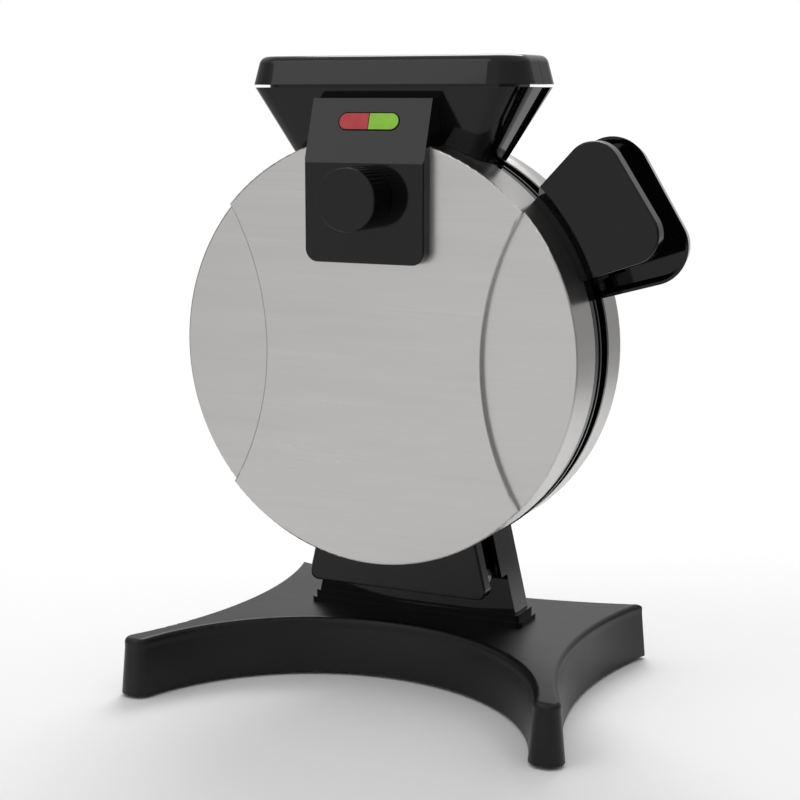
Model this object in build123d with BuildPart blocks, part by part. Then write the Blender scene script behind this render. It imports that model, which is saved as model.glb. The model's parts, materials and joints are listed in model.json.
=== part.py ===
from build123d import *
import os
from math import atan, cos, degrees, radians, sin, sqrt, tan

os.makedirs("parts", exist_ok=True)

# An upright waffle maker, filled from above. X is to the right seen from the front,
# the front disc faces -Y, and the feet stand on z = 0. All sizes are millimetres.

# Clearances
seam_gap = 0.3
part_gap = 0.3
fit_gap = 0.05
slip_gap = 0.5

# Disc halves, whose steel stands a margin outside the round plate
plate_radius = 98.5
plate_margin = 16.5
disc_lift = 43.4
parting_y = 1.0
front_depth = 36.1
rear_depth = 34.1
sheet = 0.9
shell_edge = 1.0
panel_rise = 3.4
panel_arc_radius = 148.1
panel_waist = 63.4
front_band = 8.4
rear_band = 13.7
recess_depth = 3.5
housing_wall = 2.5
lip_proud = 0.6
lip_width = 1.4

# Base
base_height = 33.4
foot_height = 1.8
base_wall = 3.0
base_draft = 5.0
base_edge = 3.0
base_cap = 6.0
fold_gap = 3.0
base_front_y = -92.0
base_tip_width = 17.1
base_waist_inset = 12.9
base_waist_y = 15.0
base_rear_inset = 1.4
base_rear_tip_y = 93.0
base_rear_y = 74.0
leg_front_round = 6.0
leg_rear_round = 5.0
cover_thickness = 2.4
cover_sink = 1.2
pad_radius = 6.0
pad_inset = 11.0
pad_shift = 3.5
spigot_radius = 2.5
rib_thickness = 2.0
cover_screw_inset = 10.2
wire_slot_length = 32.0
wire_slot_width = 8.0

# Hinge
hinge_rise = 30.6
hinge_setback = 6.0
open_angle = 85.0
pin_radius = 3.0
pin_clearance = 0.05
bush_wall = 1.5
knuckle_wall = 2.0
lug_inner_x = 37.0
lug_width = 7.4
ear_width = 4.0
side_play = 0.5
ear_drop = 4.0

# Pedestal
pedestal_half_top = 50.2
pedestal_lean = 0.232
pedestal_wall = 3.0
pedestal_slot = 11.0
pedestal_depth = 27.0
column_rise = 24.0
notch_depth = 8.0
notch_rise = 29.6
flange_lip = 4.5
flange_tier = 2.8
flange_rise = 6.6
apron_bottom_rise = 20.6
apron_wall = 2.5
apron_inset = 3.0
apron_corner = 5.0
apron_edge = 1.6
skirt_setback = 5.0
neck_corner = 3.0
screw_spread = 8.0
funnel_screw_spread = 20.0
neck_half = 38.0
neck_depth = 11.0
neck_setback = 19.0
neck_drop = 11.0
hinge_drop = 13.0
inlet_radius = 5.5
cord_radius = 3.2
bush_lip = 1.6
clip_seat = 0.3
clip_width = 0.9
clip_bite = 0.5

# Cooking plates
plate_flange = 8.0
plate_flange_thickness = 3.5
plate_land = 7.5
cavity_depth = 10.5
cavity_draft = 2.5
plate_floor = 4.4
stud_pitch = 20.0
stud_base = 12.5
stud_height = 8.0
stud_taper = 13.0
stud_margin = 1.0
ridge_width = 4.0
ridge_draft = 8.0
deck_thickness = 3.5
heater_ring_radius = 62.0
heater_radius = 3.2
heater_seat = 1.4
heater_gap_angle = 40.0
terminal_radius = 1.6
terminal_length = 7.0
reflector_gap = 1.0
reflector_sheet = 0.6
reflector_inset = 4.5
reflector_rim = 4.0
fuse_radius = 7.0
fuse_depth = 4.0
fuse_flange = 1.0

# Funnel and rim
funnel_half_top = 80.6
funnel_rise = 24.7
funnel_half_neck = 56.5
funnel_neck_rise = -14.8
funnel_depth_top = 31.0
funnel_depth_neck = 19.0
funnel_corner_top = 19.0
funnel_corner_neck = 12.0
funnel_wall = 2.5
funnel_recess = 4.0
funnel_recess_depth = 12.0
mouth_inset = 8.0
mouth_wall = 6.0
chute_wall = 2.2
throat_half = 21.0
throat_depth = 5.0
throat_rise = 3.0
throat_corner = 1.5
rim_height = 15.0
rim_shadow = 1.5
rim_round = 5.0
rim_overhang = 0.65
rim_draft = 15.0
rim_wall = 2.5
mouth_flare = 2.9

# Handles
handle_angle = 32.9
handle_root_half = 23.8
handle_end_half = 37.7
handle_reach = 51.7
handle_round = 14.8
handle_front = 26.0
handle_thickness = 8.5
handle_root_front = 13.0
handle_root_length = 4.0
handle_step = 8.0
handle_web = 4.0
handle_edge = 1.2
rear_handle_angle = 30.9
rear_handle_extra = 7.3
rear_handle_reach = 47.0
rear_handle_round = 12.7
rear_handle_front = 6.0
rear_handle_back = 19.0
rear_handle_draft = 12.0
handle_wall = 2.8
dish_wall = 1.6
dish_rib_height = 1.4
dish_rib_length = 30.0
dish_rib_spacing = 14.0
tongue_width = 14.0
tongue_thickness = 2.4
tongue_end = 10.5
tongue_reach = 32.0
clip_sheet = 0.8
clip_grip = 0.6

# Control hood
hood_half = 34.4
hood_drop = 66.2
hood_rise = 19.1
hood_crease_drop = 14.1
hood_proud = 7.7
hood_lean = 11.2
hood_wall = 2.5
hood_corner = 7.0
hood_edge = 0.9
knob_radius = 16.5
knob_length = 20.6
knob_gap = 0.6
knob_boss_inset = 4.0
knob_drop = 32.0
knob_ribs = 40
knob_rib_width = 1.2
knob_ring = 2.0
knob_edge = 0.8
knob_wall = 2.4
shaft_radius = 3.0
shaft_flat = 0.8
shaft_grip = 12.0
lens_length = 34.0
lens_height = 8.6
lens_drop = 12.6
lens_proud = 0.4
lens_depth = 3.6
thermostat_half = 13.0
thermostat_height = 30.0
thermostat_depth = 14.0
bushing_radius = 4.5
bushing_reach = 3.0
nut_flats = 14.0
nut_height = 2.0
board_half = 27.0
board_height = 8.0
board_depth = 7.5
board_thickness = 1.6
lamp_radius = 2.5
lamp_height = 2.9
hood_screw_half = 24.0
hood_screw_drop = 4.8

# Screws
screw_radius = 1.6
screw_head_radius = 3.0
screw_head = 1.8
screw_length = 12.0
short_screw = 6.0
boss_wall = 2.0

# Levels and axes that follow from the sizes above
disc_radius = plate_radius + plate_margin
disc_z = base_height + disc_lift + disc_radius
disc_top = disc_z + disc_radius
front_face = parting_y - front_depth
rear_face = parting_y + rear_depth
front_end = parting_y - seam_gap / 2
rear_start = parting_y + seam_gap / 2
hinge_y = parting_y + hinge_setback
hinge_z = base_height + hinge_rise
fold_y = hinge_y - (disc_z - hinge_z)
disc_axis = Axis((0, 0, disc_z), (0, 1, 0))
disc_section = Plane.XY.offset(disc_z)
steel_front_y = parting_y - front_band
steel_rear_y = parting_y + rear_band
skirt_radius = disc_radius - sheet - fit_gap
everything = 3 * disc_radius


def facing_front(y, turn=0.0):
    """Plane at a given y that faces the front, its local x turned up from +X."""
    lean = radians(turn)
    return Plane(origin=(0, y, disc_z), x_dir=(cos(lean), 0, sin(lean)), z_dir=(0, -1, 0))


def along_radius(turn):
    """Plane that holds the disc's axis and a radius, with local x as the radius and local y as Y."""
    lean = radians(turn)
    return Plane(
        origin=(0, 0, disc_z),
        x_dir=(cos(lean), 0, sin(lean)),
        z_dir=(-sin(lean), 0, cos(lean)),
    )


def write(piece, name):
    """Label a finished piece and write its file."""
    piece.label = name
    export_step(piece, f"parts/{name}.step")


def turned(points):
    """Ring or disc turned about the disc's axis from points of radius and y."""
    with BuildPart() as ring:
        with BuildSketch(disc_section):
            with BuildLine():
                Polyline(*points, close=True)
            make_face()
        revolve(axis=disc_axis)
    return ring.part


def drilled(points, radius, length, direction):
    """Round cutters of one size that start at the points and run along the direction."""
    with BuildPart() as cutters:
        for point in points:
            with BuildSketch(Plane(origin=point, z_dir=direction)):
                Circle(radius)
        extrude(amount=length)
    return cutters.part


def screws(points, length, direction):
    """Pan-head screws whose heads sit at the points and whose shanks run along the direction."""
    with BuildPart() as fasteners:
        for point in points:
            with BuildSketch(Plane(origin=point, z_dir=direction)):
                Circle(screw_radius)
        extrude(amount=length)
        for point in points:
            with BuildSketch(Plane(origin=point, z_dir=direction)):
                Circle(screw_head_radius)
        extrude(amount=-screw_head)
        for point in points:
            with BuildSketch(Plane(origin=point, z_dir=direction).offset(-screw_head)):
                Rectangle(screw_head_radius * 1.2, screw_radius * 0.5)
        extrude(amount=screw_head / 2, mode=Mode.SUBTRACT)
    return fasteners.part


def front_of(y):
    """Block that holds all that lies in front of y."""
    with BuildPart() as block:
        with BuildSketch(facing_front(y)):
            Rectangle(everything * 2, everything * 2)
        extrude(amount=everything)
    return block.part


def behind(y):
    """Block that holds all that lies behind y."""
    with BuildPart() as block:
        with BuildSketch(facing_front(y)):
            Rectangle(everything * 2, everything * 2)
        extrude(amount=-everything)
    return block.part


# Base shell: four legs with concave sides, hollow from below, ribbed and with bosses
base_top = base_height
base_bottom = foot_height
base_body = base_top - base_bottom
arc_radius = disc_radius + fold_gap
leg_inner_half = sqrt(arc_radius**2 - (base_front_y - fold_y) ** 2)
base_tip_half = leg_inner_half + base_tip_width
base_waist_half = leg_inner_half - base_waist_inset
base_rear_tip_half = leg_inner_half - base_rear_inset
cover_screw_y = base_front_y / 2
cover_screw_x = sqrt(arc_radius**2 - (cover_screw_y - fold_y) ** 2) + cover_screw_inset
foot_spots = [
    (side * x, y)
    for x, y in (
        ((leg_inner_half + base_tip_half) / 2 - pad_shift, base_front_y + pad_inset),
        (base_rear_tip_half - pad_inset, base_rear_tip_y - pad_inset),
    )
    for side in (-1, 1)
]
cover_screw_spots = [
    (side * x, y)
    for x, y in (
        (cover_screw_x, cover_screw_y),
        (base_waist_half * 0.8, base_rear_y * 0.8),
    )
    for side in (-1, 1)
]


def base_block(shrink, low, height, draft=0.0):
    """Block of the base's outline, drawn in by shrink, with walls that draw in upwards by a draft."""
    spread = height * tan(radians(draft))
    with BuildPart() as block:
        with BuildSketch(Plane.XY.offset(low)):
            with BuildLine():
                ThreePointArc(
                    (-leg_inner_half, base_front_y),
                    (0, fold_y + arc_radius),
                    (leg_inner_half, base_front_y),
                )
                Line((leg_inner_half, base_front_y), (base_tip_half, base_front_y))
                ThreePointArc(
                    (base_tip_half, base_front_y),
                    (base_waist_half, base_waist_y),
                    (base_rear_tip_half, base_rear_tip_y),
                )
                ThreePointArc(
                    (base_rear_tip_half, base_rear_tip_y),
                    (0, base_rear_y),
                    (-base_rear_tip_half, base_rear_tip_y),
                )
                ThreePointArc(
                    (-base_rear_tip_half, base_rear_tip_y),
                    (-base_waist_half, base_waist_y),
                    (-base_tip_half, base_front_y),
                )
                Line((-base_tip_half, base_front_y), (-leg_inner_half, base_front_y))
            outline = make_face()
            fillet(outline.vertices().group_by(Axis.Y)[0], radius=leg_front_round)
            fillet(outline.vertices().group_by(Axis.Y)[-1], radius=leg_rear_round)
            offset(amount=spread - shrink, mode=Mode.REPLACE)
        extrude(amount=height, taper=draft)
    return block.part


base_skirt = base_block(0, base_bottom, base_body - base_cap, base_draft)
base_roof = base_block(0, base_top - base_cap, base_cap)
base_hollow = base_block(base_wall, base_bottom, base_body - base_wall)
cover_outline = base_block(base_wall + part_gap, base_bottom, cover_thickness)

column_front_y = parting_y + pedestal_slot
column_back_y = column_front_y + pedestal_depth
foot_face_y = column_front_y + notch_depth
column_mid_y = (foot_face_y + column_back_y) / 2
flange_top = base_top + flange_rise
notch_z = base_top + notch_rise
deck_z = notch_z - pedestal_wall
disc_bottom = disc_z - disc_radius
column_top = disc_bottom + column_rise
screw_bore = screw_radius + fit_gap
boss_radius = screw_radius + boss_wall
cover_top = base_bottom + cover_thickness


def column_half(z):
    """Half width of the pedestal's outline at a height."""
    return pedestal_half_top + pedestal_lean * (disc_bottom + hinge_drop - z)


foot_half = column_half(flange_top)
pedestal_screw_spots = [
    (side * x, column_mid_y) for x in (foot_half * 0.78, foot_half * 0.48) for side in (-1, 1)
]

# Long ribs that stiffen each leg from inside, cut short where the pedestal's screws go in
rib_low = base_bottom + base_body * 0.35
with BuildPart() as leg_ribs:
    with BuildSketch(Plane.XY.offset(rib_low)):
        for x, y in foot_spots:
            reach = sqrt(x**2 + (y - column_mid_y) ** 2)
            turn = degrees(atan((y - column_mid_y) / x))
            with Locations(Location((x / 2, (y + column_mid_y) / 2, 0), (0, 0, turn))):
                Rectangle(reach, rib_thickness)
    extrude(amount=base_top - base_wall / 2 - rib_low)
    add(base_hollow, mode=Mode.INTERSECT)
    with BuildSketch(Plane.XY.offset(base_bottom)):
        with Locations((0, column_mid_y)):
            Rectangle(2 * (foot_half + flange_lip), pedestal_depth + flange_lip)
    extrude(amount=base_body, mode=Mode.SUBTRACT)

with BuildPart() as base_shell:
    add(base_roof)
    fillet(base_shell.faces().sort_by(Axis.Z)[-1].edges(), radius=base_edge)
    add(base_skirt)
    add(base_hollow, mode=Mode.SUBTRACT)
    add(leg_ribs.part)
    with BuildSketch(Plane.XY.offset(cover_top)):
        with Locations(*cover_screw_spots):
            Circle(boss_radius + 1)
    extrude(amount=base_top - base_wall / 2 - cover_top)
    with BuildSketch(Plane.XY.offset(base_top - base_wall / 2)):
        with Locations(*pedestal_screw_spots):
            Circle(screw_head_radius + boss_wall)
    extrude(amount=-base_wall)
    with BuildSketch(Plane.XY.offset(base_top)):
        with Locations((0, column_mid_y)):
            SlotOverall(wire_slot_length, wire_slot_width)
    extrude(amount=-base_wall * 2, mode=Mode.SUBTRACT)
    with BuildSketch(Plane.XY.offset(base_bottom)):
        with Locations(*cover_screw_spots):
            Circle(screw_bore)
    extrude(amount=screw_length + cover_thickness + 1, mode=Mode.SUBTRACT)
    with BuildSketch(Plane.XY.offset(base_bottom)):
        with Locations(*pedestal_screw_spots):
            Circle(screw_bore)
    extrude(amount=base_body + 1, mode=Mode.SUBTRACT)
write(base_shell.part, "base_shell")

with BuildPart() as base_cover:
    add(cover_outline)
    with BuildSketch(Plane.XY.offset(base_bottom)):
        with Locations(*cover_screw_spots):
            Circle(screw_head_radius + fit_gap)
    extrude(amount=cover_sink, mode=Mode.SUBTRACT)
    with BuildSketch(Plane.XY.offset(base_bottom)):
        with Locations(*cover_screw_spots):
            Circle(screw_bore)
    extrude(amount=cover_thickness, mode=Mode.SUBTRACT)
    with BuildSketch(Plane.XY.offset(base_bottom)):
        with Locations(*foot_spots):
            Circle(spigot_radius + fit_gap)
    extrude(amount=cover_thickness, mode=Mode.SUBTRACT)
write(base_cover.part, "base_cover")

with BuildPart() as rubber_feet:
    with BuildSketch():
        with Locations(*foot_spots):
            Circle(pad_radius)
    extrude(amount=base_bottom)
    chamfer(rubber_feet.faces().group_by(Axis.Z)[0].edges(), length=foot_height / 3)
    with BuildSketch(Plane.XY.offset(base_bottom)):
        with Locations(*foot_spots):
            Circle(spigot_radius)
    extrude(amount=cover_thickness)
write(rubber_feet.part, "rubber_feet")

base_screws = screws(
    [(x, y, base_bottom + cover_sink) for x, y in cover_screw_spots], screw_length, (0, 0, 1)
)
write(base_screws, "base_screws")

# Pedestal: a leaning column on a stepped flange, open in front where the lid's knuckles turn
pin_x = lug_inner_x + lug_width + side_play + ear_width
knuckle_radius = pin_radius + bush_wall + knuckle_wall
neck_front_y = parting_y + neck_setback
neck_back_y = neck_front_y + neck_depth
neck_low = disc_bottom - neck_drop
neck_screw_spots = [(side * neck_half * 0.6, disc_bottom - neck_drop / 2) for side in (-1, 1)]
inlet_z = (flange_top + deck_z) / 2


def column_profile(shrink, low, high):
    """Face of the pedestal's outline between two heights, for a sketch on a plane along XZ."""
    with BuildLine() as edge:
        Polyline(
            (column_half(low) - shrink, low),
            (column_half(high) - shrink, high),
            (shrink - column_half(high), high),
            (shrink - column_half(low), low),
            close=True,
        )
    return make_face(edge.edges())


with BuildPart() as pedestal:
    with BuildSketch(Plane.XZ.offset(-column_back_y)):
        column_profile(0, base_top, column_top)
    extrude(amount=pedestal_depth)
    with BuildSketch(Plane.XZ.offset(-foot_face_y)):
        with Locations((0, notch_z - everything / 2)):
            Rectangle(everything, everything)
    extrude(amount=everything, mode=Mode.SUBTRACT)
    for lip, low, high in (
        (flange_lip, base_top, base_top + flange_tier),
        (flange_lip / 2, base_top + flange_tier, flange_top),
    ):
        with BuildSketch(Plane.XY.offset(low)):
            with Locations((0, column_mid_y)):
                RectangleRounded(
                    2 * (foot_half + lip), column_back_y - foot_face_y + 2 * lip, lip
                )
        extrude(amount=high - low)
    with BuildSketch(Plane.XZ.offset(pedestal_wall - column_back_y)):
        column_profile(pedestal_wall, notch_z, column_top)
    extrude(amount=pedestal_depth, mode=Mode.SUBTRACT)
    with BuildSketch(Plane.XZ.offset(pedestal_wall - column_back_y)):
        column_profile(pedestal_wall, base_top, deck_z)
    extrude(amount=column_back_y - foot_face_y - 2 * pedestal_wall, mode=Mode.SUBTRACT)
    with BuildSketch(Plane.XY.offset(base_top)):
        with Locations(*pedestal_screw_spots):
            Circle(boss_radius)
    extrude(amount=deck_z - base_top)
    with BuildSketch(Plane.XY.offset(base_top)):
        with Locations(*pedestal_screw_spots):
            Circle(screw_bore)
    extrude(amount=screw_length - 1, mode=Mode.SUBTRACT)
    with BuildSketch(Plane.XZ.offset(-neck_back_y - fit_gap)):
        with Locations(*neck_screw_spots):
            Circle(boss_radius)
    extrude(amount=neck_back_y + fit_gap - column_back_y + pedestal_wall / 2)
    with BuildSketch(Plane.XZ.offset(-neck_back_y)):
        with Locations(*neck_screw_spots):
            Circle(screw_bore)
    extrude(amount=-everything, mode=Mode.SUBTRACT)
    with BuildSketch(facing_front(-everything / 2)):
        Circle(disc_radius + part_gap)
    extrude(amount=-everything, mode=Mode.SUBTRACT)
    for side in (-1, 1):
        with BuildSketch(Plane.YZ.offset(side * (pin_x - ear_width / 2))):
            with Locations((hinge_y, hinge_z)):
                Circle(knuckle_radius)
            with Locations((hinge_y, hinge_z + (knuckle_radius - ear_drop) / 2)):
                Rectangle(
                    column_back_y - pedestal_wall / 2 - hinge_y,
                    knuckle_radius + ear_drop,
                    align=(Align.MIN, Align.CENTER),
                )
        extrude(amount=ear_width / 2, both=True)
    with BuildSketch(Plane.YZ.offset(-pin_x)):
        with Locations((hinge_y, hinge_z)):
            Circle(pin_radius + fit_gap)
    extrude(amount=2 * pin_x, mode=Mode.SUBTRACT)
    with BuildSketch(Plane.XZ.offset(-column_back_y - 1)):
        with Locations((0, inlet_z)):
            Circle(inlet_radius + fit_gap)
    extrude(amount=pedestal_wall + 2, mode=Mode.SUBTRACT)
write(pedestal.part, "pedestal")

pedestal_screws = screws(
    [(x, y, base_top - base_wall * 1.5) for x, y in pedestal_screw_spots], screw_length, (0, 0, 1)
)
write(pedestal_screws, "pedestal_screws")
neck_screws = screws(
    [(x, column_back_y, z) for x, z in neck_screw_spots], screw_length, (0, -1, 0)
)
write(neck_screws, "neck_screws")

with BuildPart() as cord_bush:
    with BuildSketch(Plane.XZ.offset(-column_back_y - bush_lip)):
        with Locations((0, inlet_z)):
            Circle(inlet_radius + bush_lip)
    extrude(amount=bush_lip)
    with BuildSketch(Plane.XZ.offset(-column_back_y)):
        with Locations((0, inlet_z)):
            Circle(inlet_radius)
    extrude(amount=pedestal_wall)
    with BuildSketch(Plane.XZ.offset(pedestal_wall - column_back_y)):
        with Locations((0, inlet_z)):
            Circle(inlet_radius + bush_lip)
    extrude(amount=bush_lip)
    with BuildSketch(Plane.XZ.offset(-column_back_y - bush_lip)):
        with Locations((0, inlet_z)):
            Circle(cord_radius)
    extrude(amount=everything, mode=Mode.SUBTRACT)
write(cord_bush.part, "cord_bush")

# Hinge: a long pin held in the pedestal's ears, with a clip at each end and bushes in the lid's lugs
pin_half = pin_x + clip_seat + clip_width * 2
with BuildPart() as hinge_pin:
    with BuildSketch(Plane.YZ.offset(-pin_half)):
        with Locations((hinge_y, hinge_z)):
            Circle(pin_radius)
    extrude(amount=2 * pin_half)
    for side in (-1, 1):
        with BuildSketch(Plane.YZ.offset(side * (pin_x + clip_seat))):
            with Locations((hinge_y, hinge_z)):
                Circle(pin_radius)
                Circle(pin_radius - clip_bite, mode=Mode.SUBTRACT)
        extrude(amount=side * clip_width, mode=Mode.SUBTRACT)
write(hinge_pin.part, "hinge_pin")

with BuildPart() as pin_clips:
    for side in (-1, 1):
        with BuildSketch(Plane.YZ.offset(side * (pin_x + clip_seat + fit_gap))):
            with Locations((hinge_y, hinge_z)):
                Circle(pin_radius + bush_wall)
                Circle(pin_radius - clip_bite + fit_gap, mode=Mode.SUBTRACT)
            with Locations((hinge_y, hinge_z - pin_radius)):
                Rectangle(pin_radius, 2 * pin_radius, mode=Mode.SUBTRACT)
        extrude(amount=side * (clip_width - 2 * fit_gap))
write(pin_clips.part, "pin_clips")

with BuildPart() as hinge_bushes:
    for side in (-1, 1):
        with BuildSketch(Plane.YZ.offset(side * lug_inner_x)):
            with Locations((hinge_y, hinge_z)):
                Circle(pin_radius + bush_wall)
                Circle(pin_radius + pin_clearance, mode=Mode.SUBTRACT)
        extrude(amount=side * lug_width)
write(hinge_bushes.part, "hinge_bushes")


# Lid housing: a ring that carries the plate, a skirt inside the steel, and the apron with its lugs
deck_radius = plate_radius + slip_gap
skirt_inner = skirt_radius - housing_wall
skirt_front_y = front_face + sheet + skirt_setback
lip_radius = disc_radius + lip_proud
apron_bottom = base_top + apron_bottom_rise
apron_top = disc_bottom + 2 * hinge_drop
chute_half = throat_half + chute_wall
chute_depth = throat_depth + chute_wall
flange_radius = plate_radius + plate_flange
plate_screw_radius = plate_radius + plate_flange / 2
plate_screw_angles = [22.5 + 45 * step for step in range(8) if step not in (1, 2)]


def ring_spots(radius, y, angles):
    """Points on a ring about the disc's axis."""
    return [
        (radius * cos(radians(angle)), y, disc_z + radius * sin(radians(angle)))
        for angle in angles
    ]


def apron_profile(shrink, low):
    """Face of the apron's outline, drawn in on every side, for a sketch on a plane along XZ."""
    inset = apron_inset + shrink
    with BuildLine() as edge:
        Polyline(
            (column_half(low) - inset, low + shrink),
            (column_half(apron_top) - inset, apron_top),
            (inset - column_half(apron_top), apron_top),
            (inset - column_half(low), low + shrink),
            close=True,
        )
    return make_face(edge.edges())


housing_ring = turned(
    [
        (deck_radius, front_end),
        (lip_radius, front_end),
        (lip_radius, front_end - lip_width),
        (disc_radius, front_end - lip_width),
        (disc_radius, steel_front_y),
        (skirt_radius, steel_front_y),
        (skirt_radius, skirt_front_y),
        (skirt_inner, skirt_front_y),
        (skirt_inner, front_end - deck_thickness),
        (deck_radius, front_end - deck_thickness),
    ]
)
with BuildPart() as apron:
    with BuildSketch(Plane.XZ.offset(-front_end)):
        apron_profile(0, apron_bottom)
    extrude(amount=front_end - steel_front_y)
    fillet(
        apron.edges().filter_by(Axis.Y).group_by(Axis.Z)[0],
        radius=apron_corner,
    )
    front_edges = apron.faces().sort_by(Axis.Y)[0].edges().sort_by(Axis.Z)[:-1]
    fillet(front_edges, radius=apron_edge)
    with BuildSketch(Plane.XZ.offset(-front_end)):
        apron_profile(apron_wall, apron_bottom)
    extrude(amount=front_end - steel_front_y - apron_wall, mode=Mode.SUBTRACT)
    with BuildSketch(facing_front(everything / 2)):
        Circle(disc_radius - sheet)
    extrude(amount=everything, mode=Mode.SUBTRACT)

handle_screw_y = steel_front_y + screw_bore + fit_gap
handle_screw_angles = [handle_angle - screw_spread, handle_angle + screw_spread]
funnel_screw_angles = [90 - funnel_screw_spread, 90 + funnel_screw_spread]


def radial_screws(radius, y, angles):
    """Screws that run outwards along radii of the disc, heads at the given radius."""
    return Compound(
        [
            screws(
                [(radius * cos(radians(turn)), y, disc_z + radius * sin(radians(turn)))],
                screw_length,
                (cos(radians(turn)), 0, sin(radians(turn))),
            ).solid()
            for turn in angles
        ]
    )


def radial_bores(radius, y, angles):
    """Cutters for screws that run outwards along radii of the disc."""
    return [
        drilled(
            [(radius * cos(radians(turn)), y, disc_z + radius * sin(radians(turn)))],
            screw_bore,
            screw_length + 2,
            (cos(radians(turn)), 0, sin(radians(turn))),
        )
        for turn in angles
    ]


front_bores = radial_bores(
    skirt_inner - 1, handle_screw_y, handle_screw_angles + funnel_screw_angles
)
with BuildPart() as front_housing:
    add(housing_ring)
    add(apron.part)
    for side in (-1, 1):
        with BuildSketch(Plane.YZ.offset(side * lug_inner_x)):
            with Locations((hinge_y, hinge_z)):
                Circle(knuckle_radius)
                Rectangle(
                    hinge_y - steel_front_y - apron_wall / 2,
                    2 * knuckle_radius,
                    align=(Align.MAX, Align.CENTER),
                )
        extrude(amount=side * lug_width)
    with BuildSketch(Plane.YZ.offset(-pin_x)):
        with Locations((hinge_y, hinge_z)):
            Circle(pin_radius + bush_wall)
    extrude(amount=2 * pin_x, mode=Mode.SUBTRACT)
    with BuildSketch(Plane.XY.offset(disc_z)):
        with Locations((0, parting_y)):
            Rectangle(2 * (chute_half + part_gap), 2 * (chute_depth + part_gap))
    extrude(amount=2 * disc_radius, mode=Mode.SUBTRACT)
    for spot in ring_spots(plate_screw_radius, front_end - deck_thickness, plate_screw_angles):
        with BuildSketch(Plane(origin=spot, z_dir=(0, 1, 0))):
            Circle(screw_bore)
    extrude(amount=deck_thickness - 0.8, mode=Mode.SUBTRACT)
    add(front_bores, mode=Mode.SUBTRACT)
write(front_housing.part, "front_housing")

# Rear housing: the same ring with a recessed band, and a neck that is screwed to the pedestal
recess_radius = disc_radius - recess_depth
recess_inner = recess_radius - housing_wall
skirt_rear_y = rear_face - sheet - skirt_setback
rear_screw_y = (rear_start + steel_rear_y) / 2
rear_screw_angles = [rear_handle_angle - screw_spread, rear_handle_angle + screw_spread]
rear_ring = turned(
    [
        (deck_radius, rear_start),
        (recess_radius, rear_start),
        (recess_radius, steel_rear_y - housing_wall),
        (disc_radius, steel_rear_y - housing_wall),
        (disc_radius, steel_rear_y),
        (skirt_radius, steel_rear_y),
        (skirt_radius, skirt_rear_y),
        (skirt_inner, skirt_rear_y),
        (skirt_inner, steel_rear_y + housing_wall),
        (recess_inner, steel_rear_y),
        (recess_inner, rear_start + deck_thickness),
        (deck_radius, rear_start + deck_thickness),
    ]
)
rear_bores = radial_bores(
    recess_inner - 1, rear_screw_y, rear_screw_angles + funnel_screw_angles
)
with BuildPart() as rear_housing:
    with BuildSketch(Plane.XZ.offset(-neck_back_y)):
        with Locations((0, neck_low)):
            Rectangle(
                2 * neck_half,
                disc_radius / 2,
                align=(Align.CENTER, Align.MIN),
            )
    extrude(amount=neck_depth)
    fillet(rear_housing.edges().filter_by(Axis.Y), radius=neck_corner)
    with BuildSketch(facing_front(everything / 2)):
        Circle(skirt_inner + housing_wall / 2)
    extrude(amount=everything, mode=Mode.SUBTRACT)
    add(rear_ring)
    with BuildSketch(Plane.XY.offset(disc_z)):
        with Locations((0, parting_y)):
            Rectangle(2 * (chute_half + part_gap), 2 * (chute_depth + part_gap))
    extrude(amount=2 * disc_radius, mode=Mode.SUBTRACT)
    for spot in ring_spots(plate_screw_radius, rear_start + deck_thickness, plate_screw_angles):
        with BuildSketch(Plane(origin=spot, z_dir=(0, -1, 0))):
            Circle(screw_bore)
    extrude(amount=deck_thickness - 0.8, mode=Mode.SUBTRACT)
    with BuildSketch(Plane.XZ.offset(-neck_back_y)):
        with Locations(*neck_screw_spots):
            Circle(screw_bore)
    extrude(amount=neck_depth - 1, mode=Mode.SUBTRACT)
    add(rear_bores, mode=Mode.SUBTRACT)
write(rear_housing.part, "rear_housing")


# Steel discs: drawn shells whose middle stands proud of two lens-shaped sides
def middle(shrink, back, face):
    """Block of the raised middle, the part of the disc between two arcs, drawn in by shrink."""
    with BuildPart() as block:
        with BuildSketch(facing_front(back)):
            Circle(disc_radius - shrink)
            for side in (-1, 1):
                with Locations((side * (panel_waist + panel_arc_radius), 0)):
                    Circle(panel_arc_radius + shrink, mode=Mode.SUBTRACT)
        extrude(amount=back - face)
    return block.part


panel_face = front_face - panel_rise
shell_open_y = steel_front_y - fit_gap
with BuildPart() as outer_middle:
    add(middle(0, shell_open_y, panel_face))
    fillet(outer_middle.faces().sort_by(Axis.Y)[0].edges(), radius=shell_edge)
hood_bottom = disc_top - hood_drop
knob_z = disc_top - knob_drop
hood_screw_spots = [
    (x, z - disc_z)
    for x in (-hood_screw_half, hood_screw_half)
    for z in (hood_bottom + hood_corner, disc_top - hood_crease_drop - hood_screw_drop)
]
with BuildPart() as front_shell:
    with BuildSketch(facing_front(shell_open_y)):
        Circle(disc_radius)
    extrude(amount=shell_open_y - front_face)
    fillet(front_shell.faces().sort_by(Axis.Y)[0].edges(), radius=shell_edge)
    add(outer_middle.part)
    with BuildSketch(facing_front(shell_open_y)):
        Circle(disc_radius - sheet)
    extrude(amount=shell_open_y - front_face - sheet, mode=Mode.SUBTRACT)
    add(middle(sheet, shell_open_y, panel_face + sheet), mode=Mode.SUBTRACT)
    with BuildSketch(Plane.XZ.offset(-front_face + everything / 2)):
        with Locations((0, knob_z)):
            RectangleRounded(
                2 * thermostat_half + 2 * slip_gap, thermostat_height + 2 * slip_gap, slip_gap
            )
    extrude(amount=-everything / 2 - front_depth / 2, mode=Mode.SUBTRACT)
    with BuildSketch(facing_front(panel_face - 1)):
        with Locations(*hood_screw_spots):
            Circle(screw_bore)
    extrude(amount=-sheet - 2, mode=Mode.SUBTRACT)
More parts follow.
